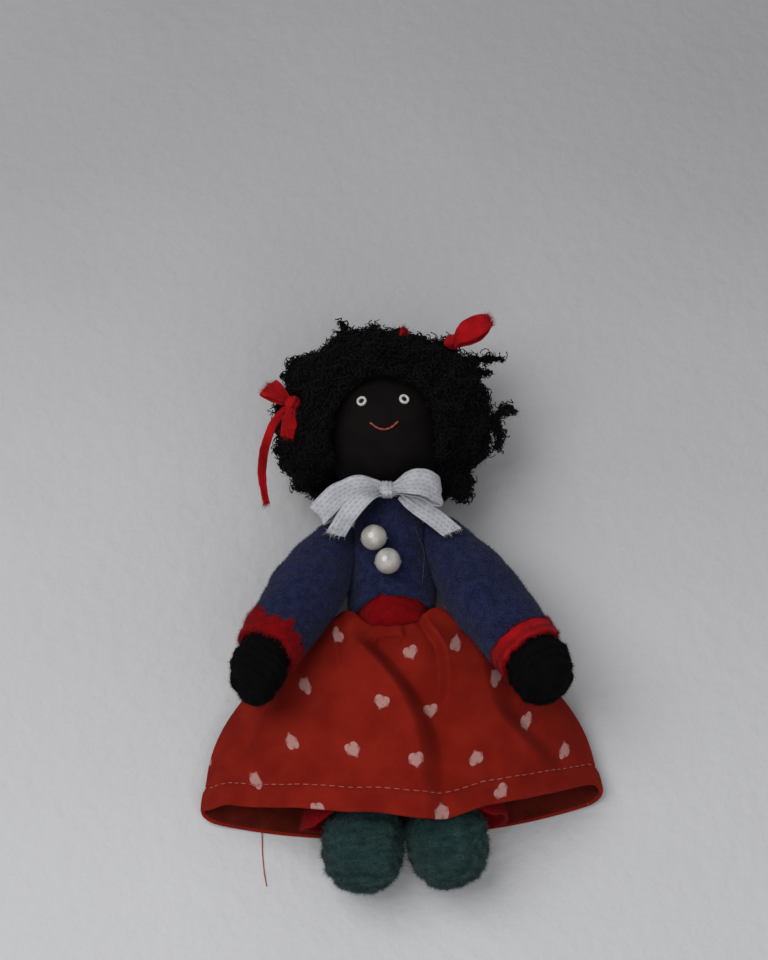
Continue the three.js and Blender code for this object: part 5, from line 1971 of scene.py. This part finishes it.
@dataclass
class NeckBow:
    """The white ribbon round the neck, tied in a bow."""

    tools: Tools
    head: Head
    ribbon: float = 5.2
    knot_width: float = 3.4
    knot_thickness: float = 3.6
    band_width: float = 1.8
    band_thickness: float = 0.8
    band_fill: float = 1.3
    collar: Pair = (4.9, 5.9)

    @property
    def band_place(self) -> Matrix:
        """From the band's own lengths, with the neck along Y, to the doll's."""
        reach = self.head.radius + self.head.neck_length / 2 - GAP
        return self.head.place @ Matrix.Translation((0, -reach, 0))

    @property
    def knot(self) -> Array:
        """The middle of the knot."""
        out = self.collar[1] + self.band_thickness + GAP + self.knot_thickness / 2
        return np.array(self.band_place @ Vector((0, 0, out)))

    def build(self) -> None:
        """Builds the band, the knot, the two loops and the two tails."""
        self.build_band()
        self.build_knot()
        for number, (name, stations) in enumerate(self.strips().items()):
            tail = name.endswith("tail")
            strip = RibbonStrip(f"{name}_ribbon", stations, 520 + 10 * number, pleats=0.55,
                                crumple=0.12 if tail else 0.2, cut=0.9 if tail else 0.0)
            obj = dress(strip.build(self.knot), WHITE_RIBBON, "torso", name)
            if tail:
                end, before = np.array(stations)[[-1, -2], :3]
                self.tools.fray(obj, RIBBON_THREAD, "torso", 525 + 10 * number, at=self.knot + end, reach=2.6,
                                way=unit(end - before), per_mm2=7)

    def strips(self) -> dict[str, Route]:
        """Lists the loops and tails, from the knot's middle.

        Returns:
            Each one's stations by its name.
        """
        edge, half = self.knot_width / 2, self.ribbon / 2
        return {
            "right_bow_loop": [
                (-edge + 0.4, 0.1, 0.9, 0, 1.1, 0), (-4.6, 0, 2.3, -0.1, 0.85 * half, 0),
                (-8.4, -0.8, 1.9, -0.4, 0.95 * half, 0), (-11.6, -2.6, 0.2, -1.0, 0.85 * half, 0),
                (-13.5, -4.1, -1.3, -1.2, 0.75 * half, 0), (-11.4, -2.8, -1.6, -1.0, 0.8 * half, 0),
                (-8.2, -1.0, 0.0, -0.4, 0.85 * half, 0), (-4.6, -0.1, 0.5, 0, 0.7 * half, 0),
                (-edge + 0.4, 0.1, 0.1, 0, 1.1, 0),
            ],
            "left_bow_loop": [
                (edge - 0.4, 0.1, 0.9, 0, 1.1, 0), (4.2, 0.2, 2.7, 0.1, 0.9 * half, 0),
                (7, 0.1, 2.7, 0.1, 1.05 * half, 0), (9.4, -0.7, 1.2, 0.2, 1.05 * half, 0),
                (10.2, -1.1, -0.5, 0.2, half, 0), (8.8, -0.8, -0.9, 0.1, 0.95 * half, 0),
                (6.6, -0.2, 0.4, 0, 0.85 * half, 0), (4.2, 0, 0.6, 0, 0.7 * half, 0),
                (edge - 0.4, 0.1, 0.1, 0, 1.1, 0),
            ],
            "right_bow_tail": [
                (-edge - GAP, -0.9, 1.3, -0.5, 0.9, 0), (-4.6, -2.5, 2.9, -1, 1.3, 0),
                (-7.6, -5.3, 1.9, -1.2, 1.4, 0), (-10.3, -8.2, -1.4, -1.3, 1.3, 0),
            ],
            "left_bow_tail": [
                (edge + 3 * GAP, -0.8, -1, 0.4, 0.9, 0), (4.8, -2.4, -1.4, 0.9, 1.4, 0),
                (8.8, -5.4, -2, 1.0, 1.6, 0), (12.1, -8.4, -2.5, 0.9, 1.6, 0),
            ],
        }

    def build_band(self) -> None:
        """Builds the ribbon round the neck."""
        turn = round_angles(16)
        angle = round_angles(90)
        out = (0.5 + 0.46 * np.cos(turn))[:, None] * (self.band_thickness + self.band_fill) - self.band_fill
        along = (np.sin(turn) * self.band_width / 2)[:, None]
        y = along + 0.12 * np.sin(5 * angle) * np.sign(along)
        x, z = (self.collar[0] + out) * np.cos(angle), (self.collar[1] + out) * np.sin(angle)
        rows = np.stack([x, y, z], -1)
        obj = skin("neck_ribbon", moved(rows, self.band_place), joined=True)
        dress(obj, WHITE_RIBBON, "torso", "neck_band")

    def build_knot(self) -> None:
        """Builds the knot, gathered in folds that run round it."""
        across = np.linspace(-0.96, 0.96, 40)
        girth = self.knot_thickness / 2 * (1 - 0.42 * np.abs(across) ** 2.6)
        girth = girth - 0.16 * np.abs(np.sin(across * math.pi * 2.2)) + 0.02
        rows = turned(zip(girth, across * self.knot_width / 2), 64)[..., [1, 0, 2]]
        rows += unit(rows * (0, 1, 1)) * (0.14 * ripple(rows, 2.6, 511))[..., None]
        dress(skin("bow_knot_folds", rows + self.knot), WHITE_RIBBON, "torso", "bow_knot")


@dataclass
class HairRibbons:
    """The two red ribbons knotted into the hair, and a bit of ribbon at its top."""

    tools: Tools
    head: Head
    knot: float = 3.2
    knots: tuple[tuple[str, Triple], ...] = (("right", (-17.4, 3.6, 7.0)), ("left", (14.6, 15.7, 6.6)))

    def build(self) -> None:
        """Builds the knots, loops and tails."""
        for number, (name, place) in enumerate(self.knots):
            self.build_knot(name, place, 600 + number)
        for number, (name, stations) in enumerate(self.strips().items()):
            strip = RibbonStrip(f"{name}_cloth", stations, 620 + 10 * number, pleats=0.25, crumple=0.18,
                                thickness=0.36)
            stands_for = [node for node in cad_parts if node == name]
            obj = dress(strip.build(self.head.centre), RED_RIBBON, "head", *stands_for)
            points = np.array(stations)[:, :3]
            tip = max(points, key=lambda p: float(lengths(p - points[0])))
            self.tools.fray(obj, CUFF_NAP, "head", 625 + 10 * number, at=self.head.centre + tip, reach=2.4,
                            way=unit(tip - points[0]), per_mm2=9)

    def build_knot(self, name: str, place: Triple, seed: int) -> None:
        """Builds one knot, a small ball of folded ribbon.

        Args:
            name: Its side.
            place: From the head's middle.
            seed: Fixes its folds.
        """
        columns = 56
        rows = turned(ball_profile(self.knot / 2, 6, 174, 40), columns)
        folds = 0.16 * np.sin(5 * round_angles(columns) + 2 * rows[..., 1])
        rows += unit(rows) * (folds + 0.12 * ripple(rows, 2.2, seed) - 0.1)[..., None]
        obj = skin(f"{name}_knot_folds", rows + place + self.head.centre)
        dress(obj, RED_RIBBON, "head", f"{name}_ribbon_knot")

    def strips(self) -> dict[str, Route]:
        """Lists the loops and tails, from the head's middle.

        Returns:
            Each one's stations by its name.
        """
        return {
            "right_ribbon_loop": [
                (-18.5, 4.4, 7.3, 0.5, 0.6, 0), (-20.4, 5.9, 8, 1.2, 1.2, 0), (-22.3, 7.4, 7.2, 1.7, 1.5, 0),
                (-20.6, 6, 6.2, 1.2, 1.1, 0), (-18.7, 4.5, 6, 0.5, 0.6, 0),
            ],
            "right_ribbon_short_tail": [
                (-17.7, 2.2, 7.8, 0.8, 0, -0.3), (-18.2, -0.8, 8.6, 1.4, 0.2, -0.5),
                (-18.9, -3.9, 8.2, 1.1, 0.5, -0.5),
            ],
            "right_ribbon_long_tail": [
                (-18.6, 3.2, 6.6, 0.6, -0.3, 0), (-21.6, -0.4, 6, 0.8, -0.3, 0),
                (-23.5, -5, 4, 0.8, 0.2, -0.4), (-24.1, -9.6, 1.6, 0.7, 0, -0.4),
                (-23.4, -14.2, -0.4, 0.5, -0.2, -0.3),
            ],
            "left_ribbon_loop": [
                (15.2, 15.6, 7.4, -0.5, 0.8, 0), (17.4, 16.8, 8.7, -1.0, 1.9, 0),
                (19.8, 18.1, 9, -0.8, 2.0, 0), (22.2, 19.5, 8, -0.2, 1.2, 0), (20, 18.1, 7, -0.8, 1.9, 0),
                (17.6, 16.7, 6.6, -0.9, 1.7, 0), (15.4, 15.5, 5.8, -0.5, 0.8, 0),
            ],
            "crown_ribbon": [
                (3.3, 15.0, 6.2, 0, 0.5, -0.2), (4.4, 17.3, 8.9, 0.1, 0.7, -0.3),
                (5.3, 17.3, 8.8, 0.1, 0.7, -0.3), (6.3, 15.0, 6.0, 0, 0.5, -0.2),
            ],
        }


@dataclass
class Studio:
    """The floor, the lamps and the camera."""

    floor: float = 2000.0
    lamps: tuple[tuple[str, Triple, float, float], ...] = (
        ("key", (-250, 60, 500), 0.5, 2.1), ("fill", (60, -330, 380), 0.5, 0.75))
    camera: Triple = (-7.53, -122.24, 364.47)
    elevation: float = 68.0
    turn: float = -2.9
    view: float = 28.0

    def build(self) -> None:
        """Builds the studio."""
        self.build_floor()
        self.build_lamps()
        self.build_camera()

    def build_floor(self) -> None:
        """Builds the pale floor."""
        half = self.floor / 2 * MM
        mesh = bpy.data.meshes.new("floor")
        mesh.from_pydata([(x * half, y * half, 0) for x, y in ((-1, -1), (1, -1), (1, 1), (-1, 1))], [],
                         [(0, 1, 2, 3)])
        mesh.uv_layers.new(name="cloth")
        mesh.materials.append(FLOOR.material())
        new_object("floor", mesh)

    def build_lamps(self) -> None:
        """Builds a broad soft key lamp, a weaker fill and the room's light."""
        for name, place, size, power in self.lamps:
            lamp = bpy.data.lights.new(name, "AREA")
            lamp.shape, lamp.size, lamp.energy = "DISK", size, power
            obj = new_object(name, lamp)
            obj.location = Vector(place) * MM
            obj.rotation_euler = (-Vector(place)).to_track_quat("-Z", "Y").to_euler()
        world = bpy.data.worlds.new("room")
        world.use_nodes = True
        light = world.node_tree.nodes["Background"].inputs
        light["Color"].default_value = (0.94, 0.96, 1.0, 1.0)
        light["Strength"].default_value = 0.34
        bpy.context.scene.world = world

    def build_camera(self) -> None:
        """Builds the camera at the photograph's viewing angle."""
        data = bpy.data.cameras.new("camera")
        data.sensor_width = 36
        data.lens = data.sensor_width / 2 / math.tan(math.radians(self.view / 2))
        data.clip_start, data.clip_end = 0.01, 20
        obj = new_object("camera", data)
        obj.location = Vector(self.camera) * MM
        obj.rotation_euler = Euler((math.radians(90 - self.elevation), 0, math.radians(self.turn)))
        bpy.context.scene.camera = obj
        bpy.context.scene.view_settings.view_transform = "Standard"


def finish_wires() -> None:
    """Gives the wires inside the doll their bare steel."""
    for name in ("spine_wire", *(f"{s.word}_{limb}_wire" for s in Side for limb in ("arm", "leg"))):
        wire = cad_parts[name]
        wire.data.materials.clear()
        wire.data.materials.append(STEEL.material())


def main() -> None:
    """Builds the studio and the doll."""
    logging.basicConfig(level=logging.INFO, format="%(message)s")
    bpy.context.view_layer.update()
    tools = Tools(Nap(), Curls(), Stitches())
    Studio().build()
    ragged = ((170, 1.8, 22), (146, 3.2, 16), (127, 1.8, 12), (96, 0.9, 14), (70, 1.7, 13), (40, 0.8, 12))
    frayed = ((12, 1.3, 15), (352, 1.8, 12))
    limbs = [
        Arm(tools, Side.RIGHT, cuff_peaks=ragged),
        Arm(tools, Side.LEFT, spread=29.0, rise=16.0, length=28.0, forearm=14.2, wrist=13.2, cuff=RED_RIBBON,
            cuff_peaks=frayed, cuff_fuzz=0.1, cuff_fray=0.7, frayed_end=1.0, hand_length=13.2,
            hand_width=12.4, hand_bend=0.8),
        *(Leg(tools, side) for side in Side),
    ]
    head = Head(tools)
    ribbons = NeckBow(tools, head), HairRibbons(tools, head)
    for part in (Torso(tools, limbs), *limbs, Skirt(tools), head, *ribbons):
        part.build()
    finish_wires()


if __name__ == "__main__":
    main()
